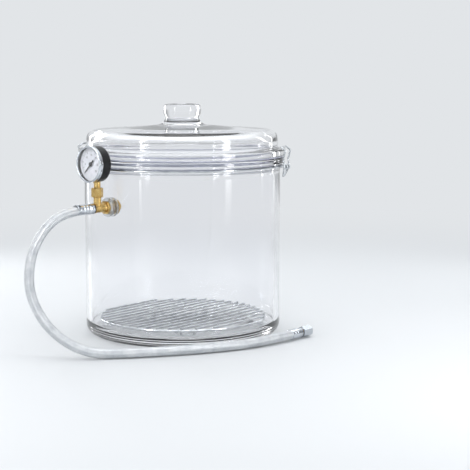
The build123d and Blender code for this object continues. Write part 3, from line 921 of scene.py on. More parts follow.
@dataclass
class Hose:
    """Braided hose from the tee to its far end, lying on the table."""

    diameter: float = 13.0
    liner_depth: float = 0.45
    carriers: int = 14
    pitch: float = 38.0
    strip_inset: float = 0.35
    strip_lift: float = 0.18
    strip_cover: float = 0.80
    strip_half_depth: float = 0.24
    strip_corners: int = 5
    samples_per_crossing: float = 2.9

    @staticmethod
    def route() -> list[Vector]:
        """The route's control points, from the tee to the far ferrule."""
        points = (
            (-124.4, -120.2, 190),
            (-156.1, -150.7, 190),
            (-183.5, -177.2, 168),
            (-199.3, -192.5, 129.9),
            (-199.3, -192.5, 82),
            (-171.8, -192.5, 34.4),
            (-125, -192, 6.8),
            (-72, -187, 6.8),
            (-20, -176.5, 6.8),
            (34, -161, 6.8),
            (86, -138, 6.8),
            (127, -108, 8.4),
            (159, -75, 8.4),
        )
        return [Vector(point) * MM for point in points]

    def far_station(self) -> Station:
        """At the end of the hose, facing on along it."""
        before, end = self.route()[-2:]
        return Station(end, (end - before).normalized(), UP)

    def line(self, name: str) -> bpy.types.Object:
        """The route as a NURBS spline with no thickness.

        Args:
            name: the object's name.

        Returns:
            The object.
        """
        curve = bpy.data.curves.new(name, "CURVE")
        curve.dimensions = "3D"
        curve.resolution_u = 24
        spline = curve.splines.new("NURBS")
        points = self.route()
        spline.points.add(len(points) - 1)
        for slot, point in zip(spline.points, points):
            slot.co = (*point, 1.0)
        spline.order_u = 3
        spline.use_endpoint_u = True
        return new_object(name, curve)

    def path(self) -> list[Vector]:
        """Points read from the route's spline."""
        guide = self.line("hose_guide")
        mesh = evaluated_mesh(guide)
        points = [vertex.co.copy() for vertex in mesh.vertices]
        bpy.data.objects.remove(guide)
        bpy.data.meshes.remove(mesh)
        return points

    def build(self) -> None:
        """Build the hose's liner as the cord, and the woven braid over it."""
        liner = self.line("hose_liner")
        liner.data.bevel_depth = (self.diameter / 2 - self.liner_depth) * MM
        liner.data.bevel_resolution = 8
        liner.data.use_fill_caps = True
        liner.data.materials.append(LINER.material())
        path = self.path()
        length = sum((after - before).length for before, after in zip(path, path[1:]))
        LOG.info("hose length %.4f m", length)
        settle(liner, "steel_braid", "hose")
        braid = self.braid(path, length)
        settle(braid, "steel_braid")
        tuple(path[0])

    def braid(self, path: Sequence[Vector], length: float) -> bpy.types.Object:
        """Weave two sets of flat wire bundles, which pass over and under each other two by two.

        Args:
            path: points along the hose's middle.
            length: the path's length, in metres.

        Returns:
            The woven sleeve.
        """
        turns = length / (self.pitch * MM)
        weave = Recipe(
            "woven_braid",
            {
                "Carriers": self.carriers,
                "Turns": turns,
                "Radius": (self.diameter / 2 - self.strip_inset) * MM,
                "Lift": self.strip_lift * MM,
                "Width": math.pi * self.diameter / self.carriers * self.strip_cover * MM,
                "Samples": int(turns * self.carriers * self.samples_per_crossing),
            },
        )
        line = weave.out("GeometryNodeMeshToCurve", {0: weave.given["Geometry"]})
        even = weave.out("GeometryNodeResampleCurve", {"Curve": line, "Count": weave.given["Samples"]})
        joined = weave.node("GeometryNodeJoinGeometry")
        for way in BraidDirection:
            weave.feed(joined.inputs[0], self.wound(weave, even, way))
        weave.hand_out(joined.outputs[0], BRAID)
        mesh = bpy.data.meshes.new("hose_braid")
        mesh.from_pydata(path, [(i, i + 1) for i in range(len(path) - 1)], [])
        sleeve = weave.run("hose_braid", mesh)
        sleeve.data.shade_smooth()
        return sleeve

    def wound(
        self, weave: Recipe, line: bpy.types.NodeSocket, way: BraidDirection
    ) -> bpy.types.NodeSocket:
        """Wind one set of carriers, all the same way.

        Each carrier's share of a turn sets where it starts. Its beat, a sine that the two sets have
        in step, lifts it over the other set and drops it under.

        Args:
            weave: the braid's recipe.
            line: the evenly cut path.
            way: which way the carriers wind.

        Returns:
            Their bundles.
        """
        given, product = weave.given, weave.product
        wanted = {"Geometry": line, "Amount": given["Carriers"]}
        copies = weave.node("GeometryNodeDuplicateElements", wanted, domain="SPLINE")
        kept = weave.out(
            "GeometryNodeStoreNamedAttribute",
            {
                "Name": "share",
                "Geometry": copies.outputs[0],
                "Value": weave.maths("DIVIDE", copies.outputs[1], given["Carriers"]),
            },
            domain="CURVE",
        )
        share = weave.out("GeometryNodeInputNamedAttribute", {"Name": "share"})
        place = weave.node("GeometryNodeSplineParameter").outputs["Factor"]
        turns = product(place, given["Turns"])
        angle = product(weave.maths("ADD", product(turns, way.value), share), 2 * math.pi)
        weft = product(share, given["Carriers"], way.value)
        beat = weave.maths("ADD", product(turns, given["Carriers"]), weft)
        over = weave.maths("SINE", product(beat, math.pi))
        reach = weave.maths("ADD", given["Radius"], product(over, given["Lift"], way.value))
        tangent = weave.out("GeometryNodeInputTangent")
        turn = weave.out("FunctionNodeAxisAngleToRotation", {"Axis": tangent, "Angle": angle})
        normal = weave.out("GeometryNodeInputNormal")
        outward = weave.out("FunctionNodeRotateVector", {"Vector": normal, "Rotation": turn})
        remembered = weave.out(
            "GeometryNodeStoreNamedAttribute",
            {"Name": "outward", "Geometry": kept, "Value": outward},
            data_type="FLOAT_VECTOR",
        )
        offset = weave.out("ShaderNodeVectorMath", {0: outward, "Scale": reach}, operation="SCALE")
        moved = weave.out("GeometryNodeSetPosition", {"Geometry": remembered, "Offset": offset})
        facing = weave.out(
            "GeometryNodeInputNamedAttribute", {"Name": "outward"}, data_type="FLOAT_VECTOR"
        )
        held = weave.out("GeometryNodeSetCurveNormal", {"Curve": moved, "Normal": facing}, mode="FREE")
        return self.bundled(weave, held)

    def bundled(self, weave: Recipe, lines: bpy.types.NodeSocket) -> bpy.types.NodeSocket:
        """Sweep the section of a flat bundle along the carriers' lines.

        Args:
            weave: the braid's recipe.
            lines: the carriers' lines.

        Returns:
            The bundles.
        """
        ring = {"Resolution": self.strip_corners, "Radius": 1.0}
        section = weave.out("GeometryNodeCurvePrimitiveCircle", ring)
        across = weave.node("GeometryNodeSplineParameter").outputs["Factor"]
        half_width = weave.product(weave.given["Width"], 0.5)
        flat = {"X": self.strip_half_depth * MM, "Y": half_width, "Z": 1.0}
        size = weave.out("ShaderNodeCombineXYZ", flat)
        shaped = weave.out("GeometryNodeTransform", {"Geometry": section, "Scale": size})
        named = {"Name": "across", "Geometry": shaped, "Value": across}
        marked = weave.out("GeometryNodeStoreNamedAttribute", named)
        swept = {"Curve": lines, "Profile Curve": marked, "Fill Caps": True}
        return weave.out("GeometryNodeCurveToMesh", swept)


@dataclass
class HoseEnds:
    """The crimped ferrules, and the far end's collar and swivel nut."""

    far: Station
    ferrule_radius: float = 7.25
    ferrule_wall: float = 0.65
    ferrule_cap: float = 3.6
    cap_inset: float = 1.2
    edge: float = 0.5
    groove_depth: float = 0.35
    groove_half: float = 1.1
    groove_shoulder: float = 0.12
    near_span: Point2 = (169.0, 198.0)
    near_grooves: tuple[float, ...] = (178.0, 183.0, 188.0)
    far_span: Point2 = (-14.0, 0.0)
    far_grooves: tuple[float, ...] = (-10.0, -5.0)
    collar_radius: float = 6.7
    collar_bore: float = 3.2
    collar_length: float = 10.0
    swivel_gap: float = 0.3
    nut: Hexagon = Hexagon(14.0, 18.0, 10.3, 0.5)

    def crimped(self, span: Point2, grooves: Sequence[float]) -> list[Point2]:
        """The outline of a ferrule with pressed grooves.

        Args:
            span: where it starts and ends along its axis.
            grooves: where each groove's middle is.

        Returns:
            Its outline.
        """
        start, end = span
        outer, edge = self.ferrule_radius, self.edge
        inner = outer - self.ferrule_wall
        rim = edge * 0.3
        outline = [(inner - self.cap_inset, start)]
        outline += arc((outer - edge, start), (outer - rim, start + rim), (outer, start + edge), 5)
        for place in grooves:
            half = self.groove_half
            bank = [
                (outer, half + 0.25),
                (outer - self.groove_shoulder, half),
                (outer - self.groove_depth, half * 0.55),
            ]
            outline += [(radius, place - reach) for radius, reach in bank]
            outline += [(radius, place + reach) for radius, reach in reversed(bank)]
        outline += arc((outer, end - edge), (outer - rim, end - rim), (outer - edge, end), 5)
        outline += [(inner, end), (inner, start + self.ferrule_cap)]
        return [*outline, (inner - self.cap_inset, start + self.ferrule_cap)]

    def collar(self) -> list[Point2]:
        """The outline of the collar that the nut turns on."""
        outer, bore, end = self.collar_radius, self.collar_bore, self.collar_length
        shoulder = arc((outer, end - 3.4), (outer - 0.3, end - 1.8), (outer - 1.3, end - 1.1), 5)
        neck = [(outer - 1.7, end - 0.7), (outer - 1.7, end), (bore, end)]
        return [(bore, 0.0), (outer - 0.4, 0.0), (outer, 0.4), *shoulder, *neck]

    def build(self) -> None:
        """Build both ends' turned and pressed pieces."""
        for end, span, grooves, axis in (
            ("near", self.near_span, self.near_grooves, PORT),
            ("far", self.far_span, self.far_grooves, self.far),
        ):
            sleeve = turned(f"hose_ferrule_{end}_crimped", self.crimped(span, grooves), CHROME, axis)
            settle(sleeve, "chrome", f"hose_ferrule_{end}")
        collar = turned("hose_collar_far_turned", self.collar(), ZINC, self.far, 72)
        settle(collar, "chrome", "hose_collar_far")
        seat = self.far.moved(self.collar_length + self.swivel_gap)
        nut = self.nut.piece("hose_swivel_nut_turned", ZINC, seat)
        settle(nut, "chrome", "hose_swivel_nut", body="hose_swivel_nut")


# ------------------------------------------------------------------ the glass


GLASS_SEGMENTS = 256
GLASS_EDGE = 50.0
"""Glass keeps edges sharp that turn by more than this many degrees."""


@dataclass
class Vessel:
    """The pressed glass pot: a straight wall, a thick floor, and a flared neck with a flange."""

    radius: float = 140.0
    mouth: float = 132.0
    height: float = 253.0
    floor: float = 12.0
    foot_hollow: float = 0.9
    spot_radius: float = 13.4
    outer_spot: Point2 = (139.395, 150.0)
    inner_spot: Point2 = (125.0, 132.0)
    hole_radius: float = 6.9
    hole: Point2 = (120.0, 155.0)

    def outline(self) -> list[Point2]:
        """Half of its section, from the middle of the foot to the middle of the floor."""
        outer, bore, top, floor = self.radius, self.mouth, self.height, self.floor
        return [
            (0.0, self.foot_hollow),
            *arc((outer - 44.0, self.foot_hollow), (outer - 39.0, 0.25), (outer - 34.0, 0.0), 6),
            *arc((outer - 14.0, 0.0), (outer - 4.1, 4.1), (outer, 14.0), 20),
            *((outer, level) for level in (60.0, 120.0, 180.0, 225.0)),
            *arc((outer, top - 24.0), (outer + 0.3, top - 19.5), (outer + 1.6, top - 14.5)),
            *arc((outer + 1.9, top - 12.0), (outer + 2.2, top - 10.5), (outer + 3.6, top - 10.0), 6),
            *arc((outer + 3.9, top - 10.0), (outer + 6.1, top - 9.1), (outer + 7.0, top - 6.8)),
            *arc((outer + 7.0, top - 3.2), (outer + 6.1, top - 0.9), (outer + 3.8, top)),
            *arc((bore + 1.6, top), (bore + 0.5, top - 0.5), (bore, top - 1.6), 6),
            *((bore, level) for level in (180.0, 90.0, 24.0)),
            *arc((bore, floor + 10.0), (bore - 2.9, floor + 2.9), (bore - 10.0, floor), 16),
            *((radius, floor) for radius in (80.0, 40.0, 0.0)),
        ]

    def build(self) -> None:
        """Turn it, then drill the port through its wall with a flat seat on each side."""
        pot = turned("vessel_pressed", self.outline(), GLASS, segments=GLASS_SEGMENTS, sharp=GLASS_EDGE)
        for radius, span in (
            (self.spot_radius, self.outer_spot),
            (self.spot_radius, self.inner_spot),
            (self.hole_radius, self.hole),
        ):
            pot = combined(pot, turned("port_cutter", plug(radius, *span), GLASS, PORT), Joining.CUT)
        settle(smooth(pot, GLASS_EDGE), "vessel_glass", "vessel")


@dataclass
class LidGasket:
    """The silicone ring between the flanges: a flat band, with a lip inside the mouth."""

    bore: float = 129.7
    lip: float = 131.7
    rim: float = 144.2
    bulge: float = 1.15
    lip_end: float = 247.0
    under: float = 253.05
    top: float = 255.45
    lip_edge: float = 0.5
    bore_edge: float = 0.4

    def build(self) -> None:
        """Turn its section, which has a soft outer edge."""
        edge = self.lip_edge
        outline = [
            (self.bore, self.lip_end + edge),
            (self.bore + edge, self.lip_end),
            (self.lip - edge, self.lip_end),
            (self.lip, self.lip_end + edge),
            (self.lip, self.under),
            *arc(
                (self.rim, self.under),
                (self.rim + self.bulge, (self.under + self.top) / 2),
                (self.rim, self.top),
            ),
            (self.bore + self.bore_edge, self.top),
            (self.bore, self.top - self.bore_edge),
        ]
        band = turned("lid_gasket_moulded", outline, SILICONE, segments=192)
        settle(band, "silicone", "lid_gasket")


@dataclass
class Lid:
    """The pressed glass lid: a flanged, shallow dome with a solid knob."""

    knob_top: float = 328.5
    knob_radius: float = 27.2
    wall: float = 136.5
    rim: float = 148.0
    bore: float = 128.5
    seat: float = 255.5
    ceiling: float = 290.5

    def outline(self) -> list[Point2]:
        """Half of its section, from the knob's top round to the middle of the ceiling."""
        top, knob, wall, rim = self.knob_top, self.knob_radius, self.wall, self.rim
        bore, seat, ceiling = self.bore, self.seat, self.ceiling
        return [
            (0.0, top),
            *arc((knob - 21.2, top - 0.03), (knob - 13.2, top - 0.2), (knob - 6.8, top - 0.9)),
            *arc((knob - 5.5, top - 1.1), (knob - 1.6, top - 2.7), (knob, top - 6.5), 12),
            *arc((knob, top - 8.0), (knob - 0.5, top - 13.5), (knob - 2.7, top - 18.5), 10),
            *arc((knob - 3.2, top - 20.0), (knob + 0.2, top - 26.8), (knob + 10.8, top - 30.0), 16),
            *arc((wall - 90.5, top - 31.0), (wall - 48.5, top - 34.5), (wall - 16.5, top - 36.6), 24),
            *arc((wall - 13.0, top - 37.0), (wall - 3.8, top - 40.8), (wall, top - 50.0), 18),
            (wall, seat + 16.5),
            *arc((wall, seat + 14.3), (wall + 1.4, seat + 10.9), (wall + 4.8, seat + 9.5), 10),
            *arc((rim - 3.2, seat + 9.5), (rim - 0.9, seat + 8.6), (rim, seat + 6.3)),
            *arc((rim, seat + 1.6), (rim - 0.5, seat + 0.5), (rim - 1.6, seat), 6),
            *arc((bore + 1.6, seat), (bore + 0.47, seat + 0.47), (bore, seat + 1.6), 6),
            (bore, seat + 9.5),
            *arc((bore, ceiling - 16.0), (bore - 2.6, ceiling - 9.6), (bore - 9.0, ceiling - 6.4), 14),
            *arc((bore - 11.0, ceiling - 6.2), (bore - 68.5, ceiling - 1.6), (0.0, ceiling), 32),
        ]

    def build(self) -> None:
        """Turn it and ride it on the lid's own body."""
        dome_and_knob = turned(
            "lid_pressed", self.outline(), GLASS, segments=GLASS_SEGMENTS, sharp=GLASS_EDGE
        )
        settle(dome_and_knob, "lid_glass", "lid", body="lid")


# ------------------------------------------------------------------ the wire work


CLASP_AZIMUTH = -20.0
"""Where the right clasp stands."""
CLASP_PIVOT: Point2 = (155.3, 241.4)
"""The clasps' pivots: how far from the chamber's axis, and how high."""


def at_clasp(side: Side, spot: Point2, width: float = 0.0) -> Vector:
    """A point at a clasp, in metres.

    Args:
        side: which clasp.
        spot: how far from the chamber's axis, and how high.
        width: how far to one side of the clasp's middle.

    Returns:
        The point.
    """
    facing = heading(CLASP_AZIMUTH + side.value)
    return (facing * spot[0] + facing.cross(UP) * width + UP * spot[1]) * MM


@dataclass
class NeckRing:
    """The wire ring under the flange, with two pairs of arms and eyes for the clasps."""

    radius: float = 143.5
    wire: float = 3.0
    eye_wire: float = 2.6
    eye_radius: float = 2.65
    eye_gap: float = 0.2
    spacing: float = 12.0

    def build(self) -> None:
        """Build the ring, and weld an arm and an eye to it at each side of each clasp."""
        reach, level = CLASP_PIVOT
        shape = bmesh.new()
        ring = circle(mm(0, 0, level), self.radius, heading(0), heading(90), 240)
        add_wire(shape, ring, self.wire, closed=True, sides=18)
        for side in Side:
            facing = heading(CLASP_AZIMUTH + side.value)
            for offset in (-self.spacing / 2, self.spacing / 2):
                root = math.sqrt(self.radius**2 - offset**2)
                ends = (root, reach - self.eye_radius - self.eye_gap)
                add_wire(shape, [at_clasp(side, (end, level), offset) for end in ends], self.eye_wire)
                eye = circle(at_clasp(side, CLASP_PIVOT, offset), self.eye_radius, facing, UP, 28)
                add_wire(shape, eye, self.eye_wire, closed=True, sides=12)
        settle(finished("neck_ring_wire", shape, WIRE), "stainless_wire", "neck_ring")


@dataclass
class Clasp:
    """A wire clasp: a pivot bar, a hook loop that goes over the lid, and a vee grip."""

    side: Side
    wire: float = 2.6
    half_width: float = 13.0
    grip_half_width: float = 2.6
    hook_bend: float = 2.2
    grip_bend: float = 1.54
    hook: tuple[Point2, ...] = (CLASP_PIVOT, (153.9, 252.6), (156.8, 264.3), (150.5, 269.0))
    grip: tuple[Point2, ...] = (CLASP_PIVOT, (150.9, 228.1))

    def loop(self, spots: Sequence[Point2], widths: Sequence[float]) -> list[Vector]:
        """Where a loop's runs meet, up one side of the clasp and down the other.

        Args:
            spots: the places on one side, each as in at_clasp.
            widths: how far each is from the clasp's middle.

        Returns:
            The places on both sides.
        """
        half = list(zip(spots, widths))
        out = [at_clasp(self.side, spot, -width) for spot, width in half]
        return out + [at_clasp(self.side, spot, width) for spot, width in reversed(half)]

    def build(self) -> None:
        """Bend the hook and the grip, and lay the pivot bar between them."""
        shape = bmesh.new()
        wide = [self.half_width] * len(self.hook)
        add_wire(shape, smooth_path(self.loop(self.hook, wide), self.hook_bend), self.wire)
        grip = self.loop(self.grip, (self.half_width, self.grip_half_width))
        add_wire(shape, smooth_path(grip, self.grip_bend), self.wire)
        add_wire(shape, self.loop([CLASP_PIVOT], wide), self.wire)
        node = f"clasp_{self.side.name.lower()}"
        settle(finished(f"{node}_wire", shape, WIRE), "stainless_wire", node, body=node)


@dataclass
class Rack:
    """The wire rack that stands on the vessel's floor: a ring, bars across it and four feet."""

    radius: float = 118.0
    level: float = 22.0
    rim_wire: float = 4.0
    bar_wire: float = 3.0
    pitch: float = 14.0
    azimuth: float = 48.0
    weld_depth: float = 0.3
    overhang: float = 1.0
    foot_width: float = 18.0
    foot_bend: float = 2.5
    foot_level: float = 13.6

    def build(self) -> None:
        """Build the rim, the bars and the feet."""
        rim = bmesh.new()
        ring = circle(mm(0, 0, self.level), self.radius, heading(0), heading(90), 180)
        add_wire(rim, ring, self.rim_wire, closed=True, sides=18)
        settle(finished("rack_rim_wire", rim, PLATED_WIRE), "rack_wire", "rack_rim")
        settle(self.bars(), "rack_wire", "rack_bars")
        feet = bmesh.new()
        for quarter in range(4):
            self.add_foot(feet, self.azimuth + 45 + 90 * quarter)
        settle(finished("rack_feet_wire", feet, PLATED_WIRE), "rack_wire", "rack_feet")

    def bars(self) -> bpy.types.Object:
        """Lay a rod on every place of a line, as long as the rim allows."""
        count = int(2 * (self.radius - self.rim_wire) / self.pitch)
        laid = Recipe("laid_bars", {"Count": count, "Pitch": self.pitch * MM, "Reach": self.radius * MM})
        given, maths, product = laid.given, laid.maths, laid.product
        middle = maths("DIVIDE", maths("SUBTRACT", given["Count"], 1.0), 2.0)
        index = laid.out("GeometryNodeInputIndex")
        offset = product(maths("SUBTRACT", index, middle), given["Pitch"])
        points = laid.row_of("Count", laid.out("ShaderNodeCombineXYZ", {"Y": offset}))
        squares = maths("SUBTRACT", product(given["Reach"], given["Reach"]), product(offset, offset))
        length = product(maths("ADD", maths("SQRT", squares), self.overhang * MM), 2.0)
        round_bar = {"Vertices": 14, "Radius": self.bar_wire / 2 * MM, "Depth": 1.0}
        rod = laid.out("GeometryNodeMeshCylinder", round_bar)
        along_x = {"Geometry": rod, "Rotation": (0.0, math.pi / 2, 0.0)}
        lying = laid.out("GeometryNodeTransform", along_x)
        size = laid.out("ShaderNodeCombineXYZ", {"X": length, "Y": 1.0, "Z": 1.0})
        placed = {"Points": points, "Instance": lying, "Scale": size}
        laid.hand_out(laid.out("GeometryNodeInstanceOnPoints", placed), PLATED_WIRE)
        bars = laid.run("rack_bars_wire")
        level = self.level + (self.rim_wire + self.bar_wire) / 2 - self.weld_depth
        turn = Matrix.Rotation(math.radians(self.azimuth), 4, "Z")
        bars.data.transform(Matrix.Translation(mm(0, 0, level)) @ turn)
        return smooth(bars, 40.0)

    def add_foot(self, shape: bmesh.types.BMesh, azimuth: float) -> None:
        """Add a bent foot, welded under the rim.

        Args:
            shape: the bmesh that gets it.
            azimuth: where it stands.
        """
        half = self.foot_width / 2
        seat = heading(azimuth) * (math.sqrt(self.radius**2 - half**2) - self.rim_wire / 2)
        corners = [
            (seat + heading(azimuth + 90) * offset + UP * level) * MM
            for offset, level in (
                (-half, self.level),
                (-half, self.foot_level),
                (half, self.foot_level),
                (half, self.level),
            )
        ]
        add_wire(shape, smooth_path(corners, self.foot_bend), self.bar_wire)


# ------------------------------------------------------------------ the port and the gauge


@dataclass
class PortFittings:
    """The nipple through the wall, its washers and nut, the tee and the gauge's coupler."""

    washer_bore: float = 6.6
    washer_radius: float = 13.0
    outer_washer: Point2 = (139.45, 143.4)
    inner_washer: Point2 = (129.0, 131.95)
    nut_reach: float = 124.0
    nut: Hexagon = Hexagon(19.0, 4.95, 13.1, 0.4)
    nipple_bore: float = 3.0
    nipple_span: Point2 = (120.0, 143.5)
    thread_radius: float = 6.5
    thread_span: Point2 = (120.6, 142.9)
    thread_pitch: float = 1.0
    thread_depth: float = 0.62
    collar_reach: float = 143.42
    collar: Hexagon = Hexagon(17.0, 3.95, 6.0, 0.1)
    spigot_radius: float = 4.0
    spigot_span: Point2 = (147.3, 153.4)
    tee_radius: float = 6.0
    tee_bore: float = 4.05
    tee_span: Point2 = (147.42, 166.98)
    branch_radius: float = 5.25
    branch_height: float = 15.0
    branch_bore: float = 3.25
    coupler_height: float = 205.02
    coupler: Hexagon = Hexagon(14.0, 12.95, 6.6, 0.4)

    def build(self) -> None:
        """Build the port's pieces in the order they are put together."""
        self.washer("port_washer_outer", self.outer_washer)
        self.washer("port_washer_inner", self.inner_washer)
        self.nipple()
        nut = self.nut.piece("port_nut_turned", BRASS, PORT.moved(self.nut_reach))
        settle(nut, "brass", "port_nut")
        self.tee()
        coupler = self.coupler.piece("gauge_coupler_turned", BRASS, on_branch(self.coupler_height))
        settle(coupler, "brass", "gauge_coupler")

    def washer(self, node: str, span: Point2) -> None:
        """Build one moulded washer, with rounded rims.

        Args:
            node: the node that it stands for.
            span: where it starts and ends along the port.
        """
        outer = self.washer_radius
        rim = arc((outer - 0.9, 0.0), (outer - 0.25, 0.3), (outer, 0.95), 5)
        outline = mirrored([(self.washer_bore, 0.0), *rim], *span)
        settle(turned(f"{node}_moulded", outline, WASHER, PORT), "clear_washer", node)

    def thread(self) -> list[Point2]:
        """The outline of the nipple's thread, as rings: crests and roots in turn."""
        start, end = self.thread_span
        pitch, crest = self.thread_pitch, self.thread_radius
        root = crest - self.thread_depth * pitch
        ridge = ((root, 0.06), (crest, 0.44), (crest, 0.56), (root, 0.94))
        feet = [start + index * pitch for index in range(int((end - start) / pitch))]
        return [(radius, foot + share * pitch) for foot in feet for radius, share in ridge]

    def nipple(self) -> None:
        """Build the threaded nipple with its hexagon collar and spigot, bored through."""
        shape = bmesh.new()
        bore, (start, end) = self.nipple_bore, self.nipple_span
        tail = [(bore, start), (self.thread_radius - 0.9, start)]
        shoulder = [(self.thread_radius - 0.4, end), (bore, end)]
        turn_outline(shape, [*tail, *self.thread(), *shoulder], PORT, 72)
        self.collar.add(shape, PORT.moved(self.collar_reach))
        spigot = mirrored([(bore, 0.0), (self.spigot_radius, 0.0)], *self.spigot_span)
        turn_outline(shape, spigot, PORT, 48)
        nipple = finished("port_nipple_turned", shape, BRASS, MACHINED_EDGE)
        settle(nipple, "brass", "port_nipple")

    def tee(self) -> None:
        """Build the tee: a beaded run along the port's axis, and a branch up to the gauge."""
        run = self.tee_radius
        bead = [
            (self.tee_bore, 0.0),
            *arc((run + 0.2, 0.0), (run + 0.5, 0.18), (run + 0.6, 0.53), 4),
            *arc((run + 0.6, 2.48), (run + 0.45, 2.83), (run, 3.18), 4),
        ]
        body = turned("tee_body_cast", mirrored(bead, *self.tee_span), BRASS, PORT)
        foot, outer, top = on_branch(PORT_HEIGHT), self.branch_radius, self.branch_height
        riser = [(0.0, 0.0), (outer, 0.0), (outer, top - 0.4), (outer - 0.35, top), (0.0, top)]
        body = combined(body, turned("tee_branch", riser, BRASS, foot), Joining.JOIN)
        bore = turned("branch_bore", plug(self.branch_bore, 1.0, top + 1.0), BRASS, foot, 64)
        body = combined(body, bore, Joining.CUT)
        settle(smooth(body, 30.0), "brass", "tee")


@dataclass
class Gauge:
    """The vacuum gauge: case, bezel, lens, dial with its marks, pointer and stem."""

    level: float = 250.0
    case_radius: float = 24.2
    case_wall: float = 1.2
    case_span: Point2 = (154.4, 172.9)
    bezel_radius: float = 25.0
    bezel_span: Point2 = (169.9, 175.9)
    window_radius: float = 22.4
    lens_radius: float = 22.3
    lens_span: Point2 = (172.95, 174.4)
    dial_radius: float = 22.9
    dial_bore: float = 0.95
    dial_span: Point2 = (168.4, 169.0)
    ink_reach: float = 169.03
    zero: float = 135.0
    sweep: float = 270.0
    divisions: int = 50
    divisions_per_number: int = 5
    tick_reach: float = 19.6
    tick_inset: float = 2.1
    tick_size: tuple[float, float, float] = (4.2, 0.34, 0.02)
    minor_length: float = 0.45
    minor_width: float = 0.75
    major_width: float = 1.25
    numbers: tuple[int, ...] = (0, 5, 10, 15, 20, 25, 30)
    number_height: float = 3.7
    number_reach: float = 12.6
    number_relief: float = 0.008
    blade: tuple[Point2, ...] = ((-7.5, 1.3), (-2.0, 0.75), (2.0, 0.75), (15.0, 0.45), (17.0, 0.1))
    blade_span: Point2 = (170.25, 170.75)
    hub_radius: float = 3.0
    hub_span: Point2 = (170.1, 171.3)
    stem_radius: float = 4.5
    stem_foot: float = 218.0
    stem_span: Point2 = (0.05, 10.8)
    block_size: tuple[float, float, float] = (12.0, 7.0, 11.0)
    block_height: float = 16.3

    def face(self, reach: float) -> Station:
        """On the gauge's axis, facing the reader, with sideways to the reader's right."""
        origin = PORT.along * reach * MM + mm(0, 0, self.level)
        return Station(origin, PORT.along, UP.cross(PORT.along))

    def bearing(self, share: float) -> float:
        """The angle from the reader's right, anticlockwise, of a share of the scale."""
        return math.radians(self.zero + 90 - self.sweep * share)

    def build(self) -> None:
        """Build the gauge from its case to its stem."""
        self.shell()
        self.marks()
        self.pointer()
        self.stem()

    def shell(self) -> None:
        """Build the pressed case, the rolled bezel, the lens and the dial's disc."""
        for name, slot, node, outline, finish, segments in (
            ("gauge_case_pressed", "gauge_case", "gauge_case", self.case(), BLACK, 128),
            ("gauge_bezel_rolled", "chrome", "gauge_bezel", self.bezel(), CHROME, 160),
            ("gauge_lens_cut", "gauge_glass", "gauge_lens", self.lens(), LENS, 128),
            ("gauge_dial_disc", "gauge_dial", "gauge_dial", self.disc(), DIAL, 128),
        ):
            settle(turned(name, outline, finish, self.face(0.0), segments), slot, node)

    def case(self) -> list[Point2]:
        """The outline of the case, a cup with a rounded back."""
        outer, inner = self.case_radius, self.case_radius - self.case_wall
        back, rim = self.case_span
        return [
            (0.0, back),
            (outer - 10.2, back),
            *arc((outer - 2.5, back), (outer - 0.7, back + 0.7), (outer, back + 2.5)),
            (outer, rim),
            (inner, rim),
            (inner, back + 2.8),
            *arc((inner, back + 2.5), (inner - 0.4, back + 1.6), (inner - 1.3, back + 1.2), 6),
            (0.0, back + self.case_wall),
        ]

    def bezel(self) -> list[Point2]:
        """The outline of the bezel, rolled over the case's rim and the lens."""
        outer, window, seat = self.bezel_radius, self.window_radius, self.case_radius + 0.05
        back, front = self.bezel_span
        return [
            (seat, back),
            *arc((outer - 0.4, back), (outer - 0.1, back + 0.15), (outer, back + 0.5), 5),
            (outer, front - 2.3),
            *arc((outer, front - 1.3), (outer - 0.5, front - 0.4), (outer - 1.1, front - 0.05)),
            *arc((window + 1.2, front), (window + 0.5, front - 0.3), (window, front - 1.3)),
            (window, front - 1.45),
            (seat, self.lens_span[0]),
        ]

    def lens(self) -> list[Point2]:
        """The outline of the lens, a disc with a ground edge."""
        outer, (back, front) = self.lens_radius, self.lens_span
        return [
            (0.0, back),
            (outer - 0.1, back),
            (outer, back + 0.15),
            (outer, front - 0.1),
            (outer - 0.1, front),
            (0.0, front),
        ]

    def disc(self) -> list[Point2]:
        """The outline of the dial's disc, with a hole for the pointer's spindle."""
        outer, bore, (back, front) = self.dial_radius, self.dial_bore, self.dial_span
        edge = [(outer, back), (outer, front - 0.05), (outer - 0.05, front)]
        return [(bore, back), *edge, (bore, front)]

    def marks(self) -> None:
        """Print the scale's ticks and numbers on the dial."""
        dial = self.face(self.ink_reach).matrix()
        ticks = self.ticks()
        ticks.data.transform(dial)
        settle(ticks, "gauge_dial")
        for index, number in enumerate(self.numbers):
            angle = self.bearing(index / (len(self.numbers) - 1))
            reach = self.number_reach
            spot = Matrix.Translation(mm(math.cos(angle) * reach, math.sin(angle) * reach, 0))
            figure = self.figure(f"gauge_number_{index}", str(number))
            figure.data.transform(dial @ spot)
            settle(figure, "gauge_dial")

    def figure(self, name: str, words: str) -> bpy.types.Object:
        """Make a printed number as a flat mesh, in the plane of X and Y.

        Args:
            name: the piece's name.
            words: what it says.

        Returns:
            The piece.
        """
        letters = bpy.data.curves.new(name, "FONT")
        letters.body = words
        letters.size = self.number_height * MM
        letters.align_x = "CENTER"
        letters.align_y = "CENTER"
        letters.extrude = self.number_relief * MM
        letters.resolution_u = 6
        plain = baked(new_object(name, letters), name)
        plain.data.materials.clear()
        plain.data.materials.append(INK.material())
        return plain

